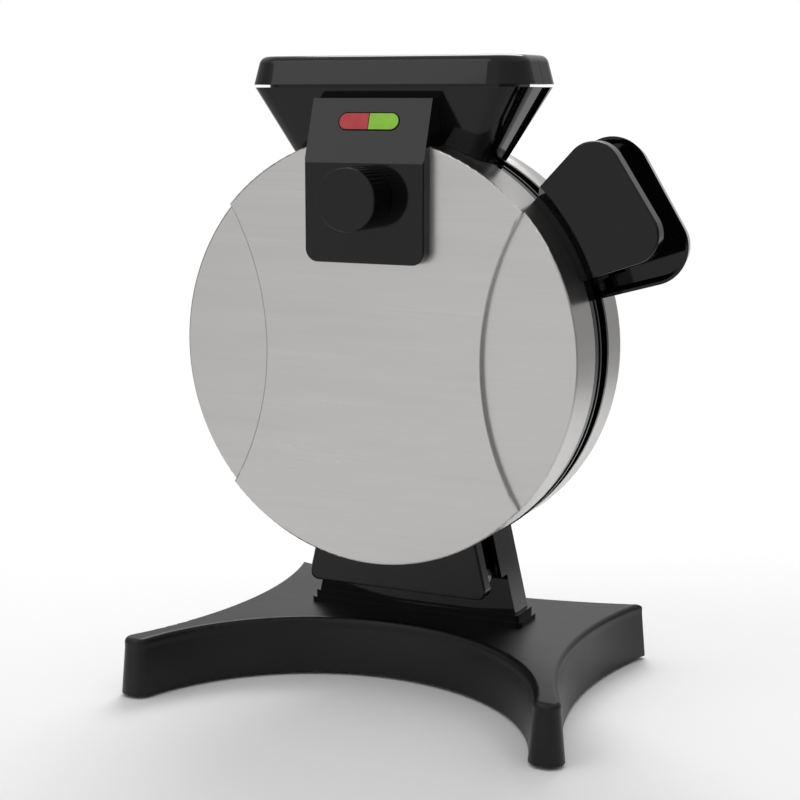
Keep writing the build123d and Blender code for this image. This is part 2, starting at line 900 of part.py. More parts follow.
write(front_shell.part, "front_shell")

rear_open_y = steel_rear_y + fit_gap
with BuildPart() as rear_shell:
    with BuildSketch(disc_section):
        with BuildLine():
            Polyline(
                (0, rear_face), (disc_radius, rear_face), (disc_radius, rear_open_y),
                (disc_radius - sheet, rear_open_y), (disc_radius - sheet, rear_face - sheet),
                (0, rear_face - sheet), close=True,
            )
        wall = make_face()
        corners = wall.vertices().group_by(Axis.X)[-1].sort_by(Axis.Y)
        fillet(corners[-1], radius=shell_edge)
    revolve(axis=disc_axis)
    with BuildSketch(Plane.XY.offset(disc_bottom - 1)):
        with Locations((0, (neck_front_y + neck_back_y) / 2)):
            Rectangle(2 * (neck_half + part_gap), neck_depth + 2 * part_gap)
    extrude(amount=disc_radius / 3, mode=Mode.SUBTRACT)
write(rear_shell.part, "rear_shell")

# Cooking plates: cast dishes with square studs, two ridges that quarter the waffle, and a pouring spout
flange_y = front_end - deck_thickness - fit_gap
flange_back_y = flange_y - plate_flange_thickness
floor_y = front_end - cavity_depth
plate_back_y = floor_y - plate_floor
cavity_radius = plate_radius - plate_land
floor_radius = cavity_radius - cavity_depth * tan(radians(cavity_draft))
heater_y = plate_back_y + heater_seat - heater_radius
reflector_y = heater_y - heater_radius - reflector_gap
reflector_radius = plate_radius - reflector_inset
post_radius = screw_radius + boss_wall
post_ring = (heater_ring_radius + plate_radius) / 2
post_angles = [45, 135, 225, 315]
terminal_angles = [-90 - heater_gap_angle / 2 - 2, -90 + heater_gap_angle / 2 + 2]
stud_rows = int(floor_radius // stud_pitch)
stud_lines = [stud_pitch * (step + 0.5) for step in range(-stud_rows, stud_rows)]
stud_spots = [
    (x, z)
    for x in stud_lines
    for z in stud_lines
    if sqrt((abs(x) + stud_base / 2) ** 2 + (abs(z) + stud_base / 2) ** 2) < floor_radius - stud_margin
]


def heater_tube(radius):
    """Nearly closed ring of eight-sided tube on the back of the front plate, open at the bottom."""
    with BuildPart() as tube:
        with BuildSketch(along_radius(-90 - heater_gap_angle / 2)):
            with Locations((heater_ring_radius, heater_y)):
                RegularPolygon(radius, 8)
        revolve(axis=disc_axis, revolution_arc=360 - heater_gap_angle)
    return tube.part


with BuildPart() as studs:
    with BuildSketch(facing_front(floor_y)):
        with Locations(*stud_spots):
            Rectangle(stud_base, stud_base)
    extrude(amount=-stud_height, taper=stud_taper)
with BuildPart() as ridges:
    with BuildSketch(facing_front(floor_y)):
        Rectangle(ridge_width, 2 * cavity_radius)
        Rectangle(2 * cavity_radius, ridge_width)
    extrude(amount=-stud_height, taper=ridge_draft)
plate_body = turned(
    [
        (0, floor_y),
        (floor_radius, floor_y),
        (cavity_radius, front_end),
        (plate_radius, front_end),
        (plate_radius, flange_y),
        (flange_radius, flange_y),
        (flange_radius, flange_back_y),
        (cavity_radius + plate_floor, flange_back_y),
        (floor_radius + plate_floor, plate_back_y),
        (0, plate_back_y),
    ]
)
with BuildPart() as front_plate:
    with BuildSketch(Plane.XY.offset(disc_z)):
        with Locations((0, (front_end + flange_back_y) / 2)):
            Rectangle(2 * chute_half, front_end - flange_back_y)
    extrude(amount=flange_radius)
    with BuildSketch(facing_front(front_end)):
        Circle(cavity_radius + plate_floor)
    extrude(amount=everything, mode=Mode.SUBTRACT)
    add(plate_body)
    add(studs.part)
    add(ridges.part)
    with BuildSketch(Plane.XY.offset(disc_z + floor_radius - stud_margin)):
        with Locations((0, parting_y)):
            Rectangle(2 * throat_half, 2 * throat_depth)
    extrude(amount=plate_radius, mode=Mode.SUBTRACT)
    with BuildSketch(facing_front(plate_back_y)):
        with PolarLocations(post_ring, 4, start_angle=post_angles[0]):
            Circle(post_radius)
    extrude(amount=plate_back_y - reflector_y)
    with BuildSketch(facing_front(reflector_y)):
        with PolarLocations(post_ring, 4, start_angle=post_angles[0]):
            Circle(screw_bore)
    extrude(amount=-short_screw, mode=Mode.SUBTRACT)
    add(heater_tube(heater_radius + fit_gap), mode=Mode.SUBTRACT)
    for spot in ring_spots(plate_screw_radius, flange_back_y, plate_screw_angles):
        with BuildSketch(Plane(origin=spot, z_dir=(0, 1, 0))):
            Circle(screw_bore)
    extrude(amount=plate_flange_thickness, mode=Mode.SUBTRACT)
front_plate_screws = screws(
    ring_spots(plate_screw_radius, flange_back_y, plate_screw_angles), short_screw, (0, 1, 0)
)

with BuildPart() as front_heater:
    add(heater_tube(heater_radius))
    for spot in ring_spots(heater_ring_radius, heater_y, terminal_angles):
        with BuildSketch(Plane(origin=spot, z_dir=(0, -1, 0))):
            Circle(terminal_radius)
    extrude(amount=heater_radius + terminal_length)

with BuildPart() as front_reflector:
    add(
        turned(
            [
                (0, reflector_y),
                (reflector_radius - reflector_sheet, reflector_y),
                (reflector_radius - reflector_sheet, reflector_y + reflector_rim),
                (reflector_radius, reflector_y + reflector_rim),
                (reflector_radius, reflector_y - reflector_sheet),
                (0, reflector_y - reflector_sheet),
            ]
        )
    )
    for spot in ring_spots(heater_ring_radius, reflector_y + 1, terminal_angles):
        with BuildSketch(Plane(origin=spot, z_dir=(0, -1, 0))):
            Circle(terminal_radius + slip_gap)
    extrude(amount=2, mode=Mode.SUBTRACT)
    for spot in ring_spots(post_ring, reflector_y + 1, post_angles):
        with BuildSketch(Plane(origin=spot, z_dir=(0, -1, 0))):
            Circle(screw_bore)
    extrude(amount=2, mode=Mode.SUBTRACT)
front_reflector_screws = screws(
    ring_spots(post_ring, reflector_y - reflector_sheet, post_angles), short_screw, (0, 1, 0)
)

# The rear plate, heater and reflector are the front ones mirrored in the plane where the halves meet
for name, piece in (
    ("plate", front_plate.part),
    ("plate_screws", front_plate_screws),
    ("heater", front_heater.part),
    ("reflector", front_reflector.part),
    ("reflector_screws", front_reflector_screws),
):
    write(piece, f"front_{name}")
    write(mirror(piece, about=facing_front(parting_y)), f"rear_{name}")

fuse_y = 2 * parting_y - reflector_y + reflector_sheet
with BuildPart() as thermal_fuse:
    with BuildSketch(facing_front(fuse_y)):
        RectangleRounded(fuse_radius * 3.4, fuse_radius * 1.4, fuse_radius * 0.6)
    extrude(amount=-fuse_flange)
    with BuildSketch(facing_front(fuse_y)):
        Circle(fuse_radius)
    extrude(amount=-fuse_depth)
    with BuildSketch(facing_front(fuse_y + fuse_depth)):
        with Locations((-fuse_radius / 2, 0), (fuse_radius / 2, 0)):
            Rectangle(fuse_flange, fuse_radius * 0.8)
    extrude(amount=-fuse_flange * 4)
write(thermal_fuse.part, "thermal_fuse")

# Funnel: a black hopper split at the seam, with a chute that carries batter to the plates
funnel_top = disc_top + funnel_rise
funnel_neck = disc_top + funnel_neck_rise
funnel_recess_y = parting_y + funnel_recess_depth
chute_top = disc_top + throat_rise
chute_bottom = disc_z + flange_radius + part_gap
mouth_half = funnel_half_top - mouth_inset - mouth_wall
mouth_depth = funnel_depth_top - mouth_inset - mouth_wall
mouth_corner = funnel_corner_top - mouth_inset - mouth_wall


def hopper_half(z):
    """Half width of the funnel at a height."""
    rise = (z - funnel_neck) / (funnel_top - funnel_neck)
    return funnel_half_neck + (funnel_half_top - funnel_half_neck) * rise


def hopper_depth(z):
    """Half depth of the funnel at a height."""
    rise = (z - funnel_neck) / (funnel_top - funnel_neck)
    return funnel_depth_neck + (funnel_depth_top - funnel_depth_neck) * rise


def hopper_corner(z):
    """Radius of the funnel's upright corners at a height."""
    rise = (z - funnel_neck) / (funnel_top - funnel_neck)
    return funnel_corner_neck + (funnel_corner_top - funnel_corner_neck) * rise


def tapered(*levels):
    """Block between two levels, each given by its height, half width, half depth and corner radius."""
    with BuildPart() as block:
        for z, half, depth, corner in levels:
            with BuildSketch(Plane.XY.offset(z)):
                with Locations((0, parting_y)):
                    RectangleRounded(2 * half, 2 * depth, corner)
        loft(ruled=True)
    return block.part


def hopper(shrink, low, high):
    """Block of the funnel's outside, drawn in by shrink, between two heights."""
    return tapered(
        *(
            (z, hopper_half(z) - shrink, hopper_depth(z) - shrink, hopper_corner(z) - shrink)
            for z in (low, high)
        )
    )


def chute(grow):
    """Block of the batter's way down from the mouth to the plates, grown by a wall."""
    throat = (throat_half + grow, throat_depth + grow, throat_corner + grow)
    mouth = (mouth_half + grow, mouth_depth + grow, mouth_corner + grow)
    with BuildPart() as block:
        add(tapered((chute_bottom, *throat), (chute_top, *throat)))
        add(tapered((chute_top, *throat), (funnel_top, *mouth)))
    return block.part


front_disc = turned(
    [
        (0, -everything / 2),
        (disc_radius + part_gap, -everything / 2),
        (disc_radius + part_gap, front_end - lip_width - part_gap),
        (lip_radius + part_gap, front_end - lip_width - part_gap),
        (lip_radius + part_gap, parting_y),
        (0, parting_y),
    ]
)
rear_disc = turned(
    [
        (0, parting_y),
        (recess_radius + part_gap, parting_y),
        (recess_radius + part_gap, steel_rear_y - housing_wall - part_gap),
        (disc_radius + part_gap, steel_rear_y - housing_wall - part_gap),
        (disc_radius + part_gap, everything / 2),
        (0, everything / 2),
    ]
)
chute_skin = chute(chute_wall)
chute_space = chute(0)
boss_top = disc_radius + funnel_rise


def funnel_bosses(y):
    """Bosses in the funnel for its screws, from inside the disc's edge to the underside of the chute."""
    with BuildPart() as bosses:
        for turn in funnel_screw_angles:
            lean = radians(turn)
            start = (recess_radius * cos(lean), y, disc_z + recess_radius * sin(lean))
            with BuildSketch(Plane(origin=start, z_dir=(cos(lean), 0, sin(lean)))):
                Circle(boss_radius)
        extrude(amount=boss_top - recess_radius)
    return bosses.part


with BuildPart() as front_funnel:
    add(hopper(0, funnel_neck, funnel_top))
    add(hopper(funnel_wall, funnel_neck, funnel_top - funnel_wall), mode=Mode.SUBTRACT)
    add(funnel_bosses(handle_screw_y))
    add(front_disc, mode=Mode.SUBTRACT)
    add(chute_skin)
    add(chute_space, mode=Mode.SUBTRACT)
    add(front_bores, mode=Mode.SUBTRACT)
    add(behind(front_end), mode=Mode.SUBTRACT)
write(front_funnel.part, "front_funnel")

with BuildPart() as deep_space:
    add(hopper(funnel_wall, funnel_neck, funnel_top - funnel_wall))
    add(front_of(funnel_recess_y + funnel_wall), mode=Mode.SUBTRACT)
with BuildPart() as rear_funnel:
    add(hopper(0, funnel_neck, funnel_top))
    add(front_of(funnel_recess_y), mode=Mode.SUBTRACT)
    add(hopper(funnel_recess, funnel_neck, funnel_top))
    add(deep_space.part, mode=Mode.SUBTRACT)
    add(hopper(funnel_recess + funnel_wall, funnel_neck, funnel_top - funnel_wall), mode=Mode.SUBTRACT)
    add(funnel_bosses(rear_screw_y))
    add(rear_disc, mode=Mode.SUBTRACT)
    add(chute_skin)
    add(chute_space, mode=Mode.SUBTRACT)
    add(rear_bores, mode=Mode.SUBTRACT)
    add(front_of(rear_start), mode=Mode.SUBTRACT)
write(rear_funnel.part, "rear_funnel")

front_funnel_screws = radial_screws(skirt_inner - fit_gap, handle_screw_y, funnel_screw_angles)
write(front_funnel_screws, "front_funnel_screws")
rear_funnel_screws = radial_screws(recess_inner - fit_gap, rear_screw_y, funnel_screw_angles)
write(rear_funnel_screws, "rear_funnel_screws")


# Rim: a thick collar on the funnel, split at the seam like the funnel, hollow from below
rim_low = funnel_top + rim_shadow
rim_top = rim_low + rim_height


def collar(inset, low, high, draft=0.0):
    """Block of the funnel's top outline, drawn in, whose walls lean in by a draft above its foot."""
    lean = (high - low) * tan(radians(draft))
    sides = (funnel_half_top, funnel_depth_top, funnel_corner_top)
    return tapered(
        (low, *(side - inset for side in sides)), (high, *(side - inset - lean for side in sides))
    )


with BuildPart() as rim_groove:
    add(collar(rim_wall, rim_low, rim_top - rim_round, rim_draft))
    add(collar(mouth_inset, rim_low, rim_top), mode=Mode.SUBTRACT)
mouth_draft = -degrees(atan(mouth_flare / rim_height))
rim_mouth = collar(mouth_inset + mouth_wall, funnel_top, rim_top, mouth_draft)
for name, cutter, neck_inset in (
    ("front", behind(front_end), mouth_inset),
    ("rear", front_of(rear_start), mouth_inset + funnel_recess),
):
    with BuildPart() as half_rim:
        add(collar(-rim_overhang, rim_low, rim_top, rim_draft))
        fillet(half_rim.faces().sort_by(Axis.Z)[-1].edges(), radius=rim_round)
        add(rim_groove.part, mode=Mode.SUBTRACT)
        add(collar(neck_inset, funnel_top, rim_low + rim_wall))
        add(rim_mouth, mode=Mode.SUBTRACT)
        add(cutter, mode=Mode.SUBTRACT)
    write(half_rim.part, f"{name}_rim")


# Handles: a paddle on each half; the front one is stepped, the rear one is a dish it closes onto
def paddle(front, back, turn, reach, corner, grow, draft=0.0):
    """Block of a handle's outline seen from the front, between two depths, drawn in by a draft."""
    with BuildPart() as block:
        with BuildSketch(facing_front(front, turn)):
            with BuildLine():
                Polyline(
                    (disc_radius - handle_root_length, -handle_root_half),
                    (disc_radius + reach, -handle_end_half),
                    (disc_radius + reach, handle_end_half),
                    (disc_radius - handle_root_length, handle_root_half),
                    close=True,
                )
            outline = make_face()
            fillet(outline.vertices().sort_by(Axis.X)[2:], radius=corner)
            offset(amount=grow, mode=Mode.REPLACE)
        extrude(amount=front - back, taper=draft)
    return block.part


def front_paddle(front, back, grow):
    """Block of the front handle's outline, grown, between two depths."""
    return paddle(front, back, handle_angle, handle_reach, handle_round, grow)


def rear_paddle(front, back, grow):
    """Block of the rear handle's outline, grown, between two depths, with drafted sides."""
    return paddle(
        front, back, rear_handle_angle, rear_handle_reach, rear_handle_round, grow, rear_handle_draft
    )


def swept(points, turn, half_width):
    """Bar of a section drawn in radius and y, wide across the radius."""
    with BuildPart() as block:
        with BuildSketch(along_radius(turn)):
            with BuildLine():
                Polyline(*points, close=True)
            make_face()
        extrude(amount=half_width, both=True)
    return block.part


handle_front_y = parting_y - handle_front
handle_back_y = handle_front_y + handle_thickness
root_front_y = parting_y - handle_root_front
root_end = disc_radius + handle_root_length
handle_end = disc_radius + handle_reach
tongue_end_y = parting_y + tongue_end
tongue_radius = disc_radius + tongue_reach
handle_section = [
    (disc_radius - handle_root_length, root_front_y),
    (root_end, root_front_y),
    (root_end + handle_step, handle_front_y),
    (handle_end + handle_wall, handle_front_y),
    (handle_end + handle_wall, handle_back_y),
    (root_end + handle_step + handle_web, handle_back_y),
    (root_end + handle_web, front_end),
    (disc_radius - handle_root_length, front_end),
]
front_seat = turned(
    [
        (0, -everything / 2),
        (disc_radius + fit_gap, -everything / 2),
        (disc_radius + fit_gap, front_end - lip_width - fit_gap),
        (lip_radius + fit_gap, front_end - lip_width - fit_gap),
        (lip_radius + fit_gap, parting_y),
        (0, parting_y),
    ]
)
with BuildPart() as handle_hollow:
    add(front_paddle(handle_front_y + handle_wall, handle_back_y + 1, -handle_wall))
    with BuildSketch(facing_front(everything / 2)):
        Circle(root_end + handle_step + handle_web + handle_wall)
    extrude(amount=everything, mode=Mode.SUBTRACT)
    with BuildSketch(facing_front(handle_back_y + 1, handle_angle)):
        with Locations((disc_radius + handle_reach / 2, 0)):
            Rectangle(handle_reach, rib_thickness)
    extrude(amount=handle_thickness, mode=Mode.SUBTRACT)
with BuildPart() as front_handle:
    add(front_paddle(handle_front_y - 1, front_end + 1, 0))
    add(turned(handle_section), mode=Mode.INTERSECT)
    fillet(front_handle.faces().sort_by(Axis.Y)[0].edges(), radius=handle_edge)
    add(handle_hollow.part, mode=Mode.SUBTRACT)
    with BuildSketch(facing_front(tongue_end_y, handle_angle)):
        with Locations((tongue_radius, 0)):
            Rectangle(tongue_thickness, tongue_width)
    extrude(amount=tongue_end_y - handle_front_y - handle_wall / 2)
    chamfer(
        front_handle.faces().sort_by(Axis.Y)[-1].edges(),
        length=tongue_thickness / 4,
    )
    add(front_seat, mode=Mode.SUBTRACT)
    add(front_bores, mode=Mode.SUBTRACT)
write(front_handle.part, "front_handle")
front_handle_screws = radial_screws(skirt_inner - fit_gap, handle_screw_y, handle_screw_angles)
write(front_handle_screws, "front_handle_screws")

rear_rim_y = parting_y + rear_handle_front
rear_back_y = parting_y + rear_handle_back
rear_floor_y = rear_back_y - dish_wall
rear_root_y = (rear_start + rear_rim_y) / 2
rear_seat = turned(
    [
        (0, parting_y),
        (recess_radius + fit_gap, parting_y),
        (recess_radius + fit_gap, steel_rear_y - housing_wall - fit_gap),
        (disc_radius + fit_gap, steel_rear_y - housing_wall - fit_gap),
        (disc_radius + fit_gap, everything / 2),
        (0, everything / 2),
    ]
)
root_section = [
    (recess_radius - handle_wall, rear_root_y),
    (root_end + handle_web, rear_root_y),
    (root_end + handle_web, rear_back_y - handle_wall / 2),
    (recess_radius - handle_wall, rear_back_y - handle_wall / 2),
]
with BuildPart() as rear_handle:
    add(rear_paddle(rear_rim_y, rear_back_y, rear_handle_extra))
    add(rear_paddle(rear_rim_y, rear_floor_y, rear_handle_extra - dish_wall), mode=Mode.SUBTRACT)
    with BuildSketch(facing_front(rear_floor_y, rear_handle_angle)):
        with Locations(
            (disc_radius + rear_handle_reach / 2, -dish_rib_spacing),
            (disc_radius + rear_handle_reach / 2, dish_rib_spacing),
        ):
            Rectangle(dish_rib_length, rib_thickness)
    extrude(amount=dish_rib_height)
    add(swept(root_section, rear_handle_angle, handle_root_half))
    add(rear_seat, mode=Mode.SUBTRACT)
    add(rear_bores, mode=Mode.SUBTRACT)
write(rear_handle.part, "rear_handle")
rear_handle_screws = radial_screws(recess_inner - fit_gap, rear_screw_y, rear_screw_angles)
write(rear_handle_screws, "rear_handle_screws")

clip_inner = tongue_thickness / 2 + clip_grip
clip_section = [
    (tongue_radius - clip_inner - clip_sheet, tongue_end_y - tongue_thickness),
    (tongue_radius - clip_inner, tongue_end_y - tongue_thickness),
    (tongue_radius - clip_inner, rear_floor_y - clip_sheet),
    (tongue_radius + clip_inner, rear_floor_y - clip_sheet),
    (tongue_radius + clip_inner, tongue_end_y - tongue_thickness),
    (tongue_radius + clip_inner + clip_sheet, tongue_end_y - tongue_thickness),
    (tongue_radius + clip_inner + clip_sheet, rear_floor_y),
    (tongue_radius - clip_inner - clip_sheet, rear_floor_y),
]
catch_clip = swept(clip_section, handle_angle, tongue_width / 2 - 1)
write(catch_clip, "catch_clip")

# Control hood: a box on the disc's front that leans back to the funnel, with its lamps and dial
hood_top = disc_top + hood_rise
hood_crease = disc_top - hood_crease_drop
hood_front_y = panel_face - hood_proud
hood_back_y = panel_face - fit_gap
hood_top_y = hood_front_y + hood_lean
hood_rear_y = parting_y - hopper_depth(hood_top) - part_gap
lean_angle = degrees(atan(hood_lean / (hood_top - hood_crease)))
slope_out = (0, -cos(radians(lean_angle)), sin(radians(lean_angle)))
slope_up = (0, sin(radians(lean_angle)), cos(radians(lean_angle)))
inner_shift = hood_wall / cos(radians(lean_angle))
inner_front_y = hood_front_y + hood_wall
inner_top = hood_top - hood_wall
inner_crease = hood_crease - hood_wall * tan(radians(lean_angle) / 2)
inner_top_y = hood_top_y + inner_shift - hood_wall * tan(radians(lean_angle))


def hood_block(points, half):
    """Block of a section drawn in y and z, wide in X."""
    with BuildPart() as block:
        with BuildSketch(Plane.YZ):
            with BuildLine():
                Polyline(*points, close=True)
            make_face()
        extrude(amount=half, both=True)
    return block.part


def on_slope(depth, along=0.0):
    """Plane on the hood's leaning face, sunk in by a depth and moved up the slope."""
    origin = [
        0,
        hood_top_y - lens_drop * slope_up[1] - depth * slope_out[1] + along * slope_up[1],
        hood_top - lens_drop * slope_up[2] - depth * slope_out[2] + along * slope_up[2],
    ]
    return Plane(origin=origin, x_dir=(1, 0, 0), z_dir=slope_out)


def on_knob_axis(y):
    """Plane across the knob's axis that faces the front."""
    return Plane(origin=(0, y, knob_z), x_dir=(1, 0, 0), z_dir=(0, -1, 0))


hood_space = hood_block(
    [
        (0, hood_bottom + hood_wall),
        (inner_front_y, hood_bottom + hood_wall),
        (inner_front_y, inner_crease),
        (inner_top_y, inner_top),
        (0, inner_top),
    ],
    hood_half - hood_wall,
)
hood_disc = turned(
    [
        (0, hood_back_y),
        (disc_radius + part_gap, hood_back_y),
        (disc_radius + part_gap, parting_y),
        (0, parting_y),
    ]
)
with BuildPart() as control_hood:
    add(
        hood_block(
            [
                (hood_back_y, hood_bottom),
                (hood_front_y, hood_bottom),
                (hood_front_y, hood_crease),
                (hood_top_y, hood_top),
                (hood_rear_y, hood_top),
                (parting_y - hopper_depth(funnel_neck) - part_gap, funnel_neck),
                (hood_back_y, funnel_neck),
            ],
            hood_half,
        )
    )
    fillet(
        control_hood.edges().filter_by(Axis.Y).group_by(Axis.Z)[0],
        radius=hood_corner,
    )
    face_edges = control_hood.faces().sort_by(Axis.Y)[0].edges()
    fillet(face_edges.sort_by(Axis.Z)[:-1], radius=hood_edge)
    add(hood_space, mode=Mode.SUBTRACT)
    with BuildSketch(facing_front(hood_back_y)):
        with Locations(*hood_screw_spots):
            Circle(boss_radius)
    extrude(amount=hood_back_y - inner_front_y)
    with BuildSketch(facing_front(hood_back_y)):
        with Locations(*hood_screw_spots):
            Circle(screw_bore)
    extrude(amount=short_screw - sheet + fit_gap, mode=Mode.SUBTRACT)
    with BuildSketch(on_knob_axis(inner_front_y)):
        Circle(bushing_radius + fit_gap)
    extrude(amount=hood_wall, mode=Mode.SUBTRACT)
    with BuildSketch(on_slope(hood_wall)):
        SlotOverall(lens_length + 2 * fit_gap, lens_height + 2 * fit_gap)
    extrude(amount=2 * hood_wall, mode=Mode.SUBTRACT)
    with BuildSketch(on_slope(board_depth)):
        with Locations((screw_head_radius - board_half, 0), (board_half - screw_head_radius, 0)):
            Circle(board_height / 4)
    extrude(amount=board_depth - hood_wall / 2)
    add(hood_disc, mode=Mode.SUBTRACT)
write(control_hood.part, "control_hood")
hood_screws = screws(
    [(x, panel_face + sheet, disc_z + z) for x, z in hood_screw_spots], short_screw, (0, -1, 0)
)
write(hood_screws, "hood_screws")

for side, name in ((-1, "red_lens"), (1, "green_lens")):
    with BuildPart() as lens:
        with BuildSketch(on_slope(hood_wall)):
            SlotOverall(lens_length, lens_height)
        extrude(amount=hood_wall + lens_proud)
        with BuildSketch(on_slope(lens_depth)):
            SlotOverall(lens_length + boss_wall, lens_height + boss_wall)
        extrude(amount=lens_depth - hood_wall)
        with BuildSketch(on_slope(lens_depth)):
            with Locations((fit_gap * side, 0)):
                Rectangle(
                    lens_length,
                    2 * lens_length,
                    align=(Align.MIN if side > 0 else Align.MAX, Align.CENTER),
                )
        extrude(amount=2 * lens_depth, mode=Mode.INTERSECT)
    write(lens.part, name)

with BuildPart() as lamp_board:
    with BuildSketch(on_slope(board_depth)):
        Rectangle(2 * board_half, board_height)
        with Locations((-2 * lamp_radius, 0), (2 * lamp_radius, 0)):
            Circle(board_thickness / 2, mode=Mode.SUBTRACT)
    extrude(amount=-board_thickness)
write(lamp_board.part, "lamp_board")

with BuildPart() as indicator_lamps:
    with BuildSketch(on_slope(board_depth)):
        with Locations((-lens_length / 4, 0), (lens_length / 4, 0)):
            Circle(lamp_radius)
    extrude(amount=lamp_height)
    chamfer(indicator_lamps.faces().sort_by(Axis.Y)[:2].edges(), length=lamp_radius / 2)
write(indicator_lamps.part, "indicator_lamps")

shaft_end_y = inner_front_y + thermostat_depth / 2
with BuildPart() as thermostat:
    with BuildSketch(on_knob_axis(inner_front_y)):
        Rectangle(2 * thermostat_half, thermostat_height)
    extrude(amount=-thermostat_depth)
    with BuildSketch(on_knob_axis(inner_front_y)):
        Circle(bushing_radius)
    extrude(amount=hood_wall + bushing_reach)
    with BuildSketch(on_knob_axis(inner_front_y + thermostat_depth)):
        with Locations((-thermostat_half / 2, 0), (thermostat_half / 2, 0)):
            Rectangle(fuse_flange, thermostat_height / 4)
    extrude(amount=-fuse_depth)
    with BuildSketch(on_knob_axis(shaft_end_y)):
        Circle(shaft_radius + pin_clearance)
    extrude(amount=everything, mode=Mode.SUBTRACT)
write(thermostat.part, "thermostat")

with BuildPart() as thermostat_nut:
    with BuildSketch(on_knob_axis(hood_front_y - fit_gap)):
        RegularPolygon(nut_flats / 2, 6, major_radius=False)
        Circle(bushing_radius + fit_gap, mode=Mode.SUBTRACT)
    extrude(amount=nut_height)
write(thermostat_nut.part, "thermostat_nut")

knob_front_y = hood_front_y - knob_length
knob_back_y = hood_front_y - knob_gap
grip_y = knob_back_y - knob_boss_inset
grip_end_y = grip_y - shaft_grip
with BuildPart() as control_shaft:
    with BuildSketch(on_knob_axis(shaft_end_y - fit_gap)):
        Circle(shaft_radius)
    extrude(amount=shaft_end_y - fit_gap - grip_end_y)
    with BuildSketch(on_knob_axis(grip_y + fit_gap)):
        with Locations((0, shaft_radius - shaft_flat)):
            Rectangle(2 * shaft_radius, shaft_radius, align=(Align.CENTER, Align.MIN))
    extrude(amount=shaft_grip + 1, mode=Mode.SUBTRACT)
write(control_shaft.part, "control_shaft")

knob_space = knob_back_y - knob_front_y - knob_wall
with BuildPart() as knob:
    with BuildSketch(on_knob_axis(knob_back_y)):
        Circle(knob_radius)
    extrude(amount=knob_back_y - knob_front_y)
    fillet(knob.faces().sort_by(Axis.Y)[0].edges(), radius=knob_edge)
    with BuildSketch(on_knob_axis(knob_back_y - knob_ring)):
        with PolarLocations(knob_radius, knob_ribs):
            Rectangle(knob_rib_width / sqrt(2), knob_rib_width / sqrt(2), rotation=45)
    extrude(amount=knob_back_y - knob_front_y - 2 * knob_ring, mode=Mode.SUBTRACT)
    with BuildSketch(on_knob_axis(knob_back_y)):
        Circle(knob_radius - knob_wall)
    extrude(amount=knob_space, mode=Mode.SUBTRACT)
    with BuildSketch(on_knob_axis(grip_y)):
        Circle(shaft_radius + knob_wall)
        Rectangle(2 * knob_radius - knob_wall, fuse_flange)
        Rectangle(fuse_flange, 2 * knob_radius - knob_wall)
    extrude(amount=knob_space - knob_boss_inset)
    with BuildSketch(on_knob_axis(grip_y)):
        Circle(shaft_radius + fit_gap)
        with Locations((0, shaft_radius - shaft_flat + fit_gap)):
            Rectangle(
                2 * knob_radius,
                shaft_radius,
                align=(Align.CENTER, Align.MIN),
                mode=Mode.SUBTRACT,
            )
    extrude(amount=shaft_grip + fit_gap, mode=Mode.SUBTRACT)
write(knob.part, "knob")
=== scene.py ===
"""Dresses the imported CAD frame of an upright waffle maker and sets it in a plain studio."""

import json
import logging
import math
from dataclasses import dataclass
from enum import Enum
from typing import Any

import bpy
from mathutils import Matrix, Vector

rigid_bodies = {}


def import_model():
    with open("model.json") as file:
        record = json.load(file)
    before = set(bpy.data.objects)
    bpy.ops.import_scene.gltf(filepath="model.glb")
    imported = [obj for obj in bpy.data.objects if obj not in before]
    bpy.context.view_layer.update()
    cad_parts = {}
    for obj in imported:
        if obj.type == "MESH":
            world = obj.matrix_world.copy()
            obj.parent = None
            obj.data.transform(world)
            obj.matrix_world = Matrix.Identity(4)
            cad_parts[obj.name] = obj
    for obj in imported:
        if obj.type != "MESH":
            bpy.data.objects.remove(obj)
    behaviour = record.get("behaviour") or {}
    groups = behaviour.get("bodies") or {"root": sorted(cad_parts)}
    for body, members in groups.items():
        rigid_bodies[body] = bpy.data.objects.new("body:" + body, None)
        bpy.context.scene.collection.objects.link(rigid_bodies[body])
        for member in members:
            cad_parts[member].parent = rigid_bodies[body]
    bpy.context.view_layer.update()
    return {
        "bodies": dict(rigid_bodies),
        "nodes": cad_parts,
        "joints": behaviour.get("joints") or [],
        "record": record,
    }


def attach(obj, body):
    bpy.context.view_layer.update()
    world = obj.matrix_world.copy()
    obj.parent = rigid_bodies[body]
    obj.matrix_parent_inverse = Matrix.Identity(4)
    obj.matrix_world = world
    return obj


LOG = logging.getLogger("waffle_maker")

# Nearly all of a noise's values lie between these two.
MASK_LOW = 0.3
MASK_HIGH = 0.7

EDGE_SEGMENTS = 2
SMOOTH_ANGLE = math.radians(40)

Colour = tuple[float, float, float, float]
Point = tuple[float, float, float]


def grey(value: float) -> Colour:
    """Gives an opaque grey."""
    return (value, value, value, 1.0)


def scaled(colour: Colour, factor: float) -> Colour:
    """Gives a colour made lighter or darker by a factor."""
    red, green, blue, alpha = colour
    return (red * factor, green * factor, blue * factor, alpha)


class Grain(Enum):
    """The way a brushed grain runs, as noise scales along the object's X, Y and Z."""

    ACROSS = (9.0, 1800.0, 1800.0)


class Axis(Enum):
    """An axis of the scene, by the name of its socket on a Separate XYZ node."""

    X = "X"
    Y = "Y"
    Z = "Z"


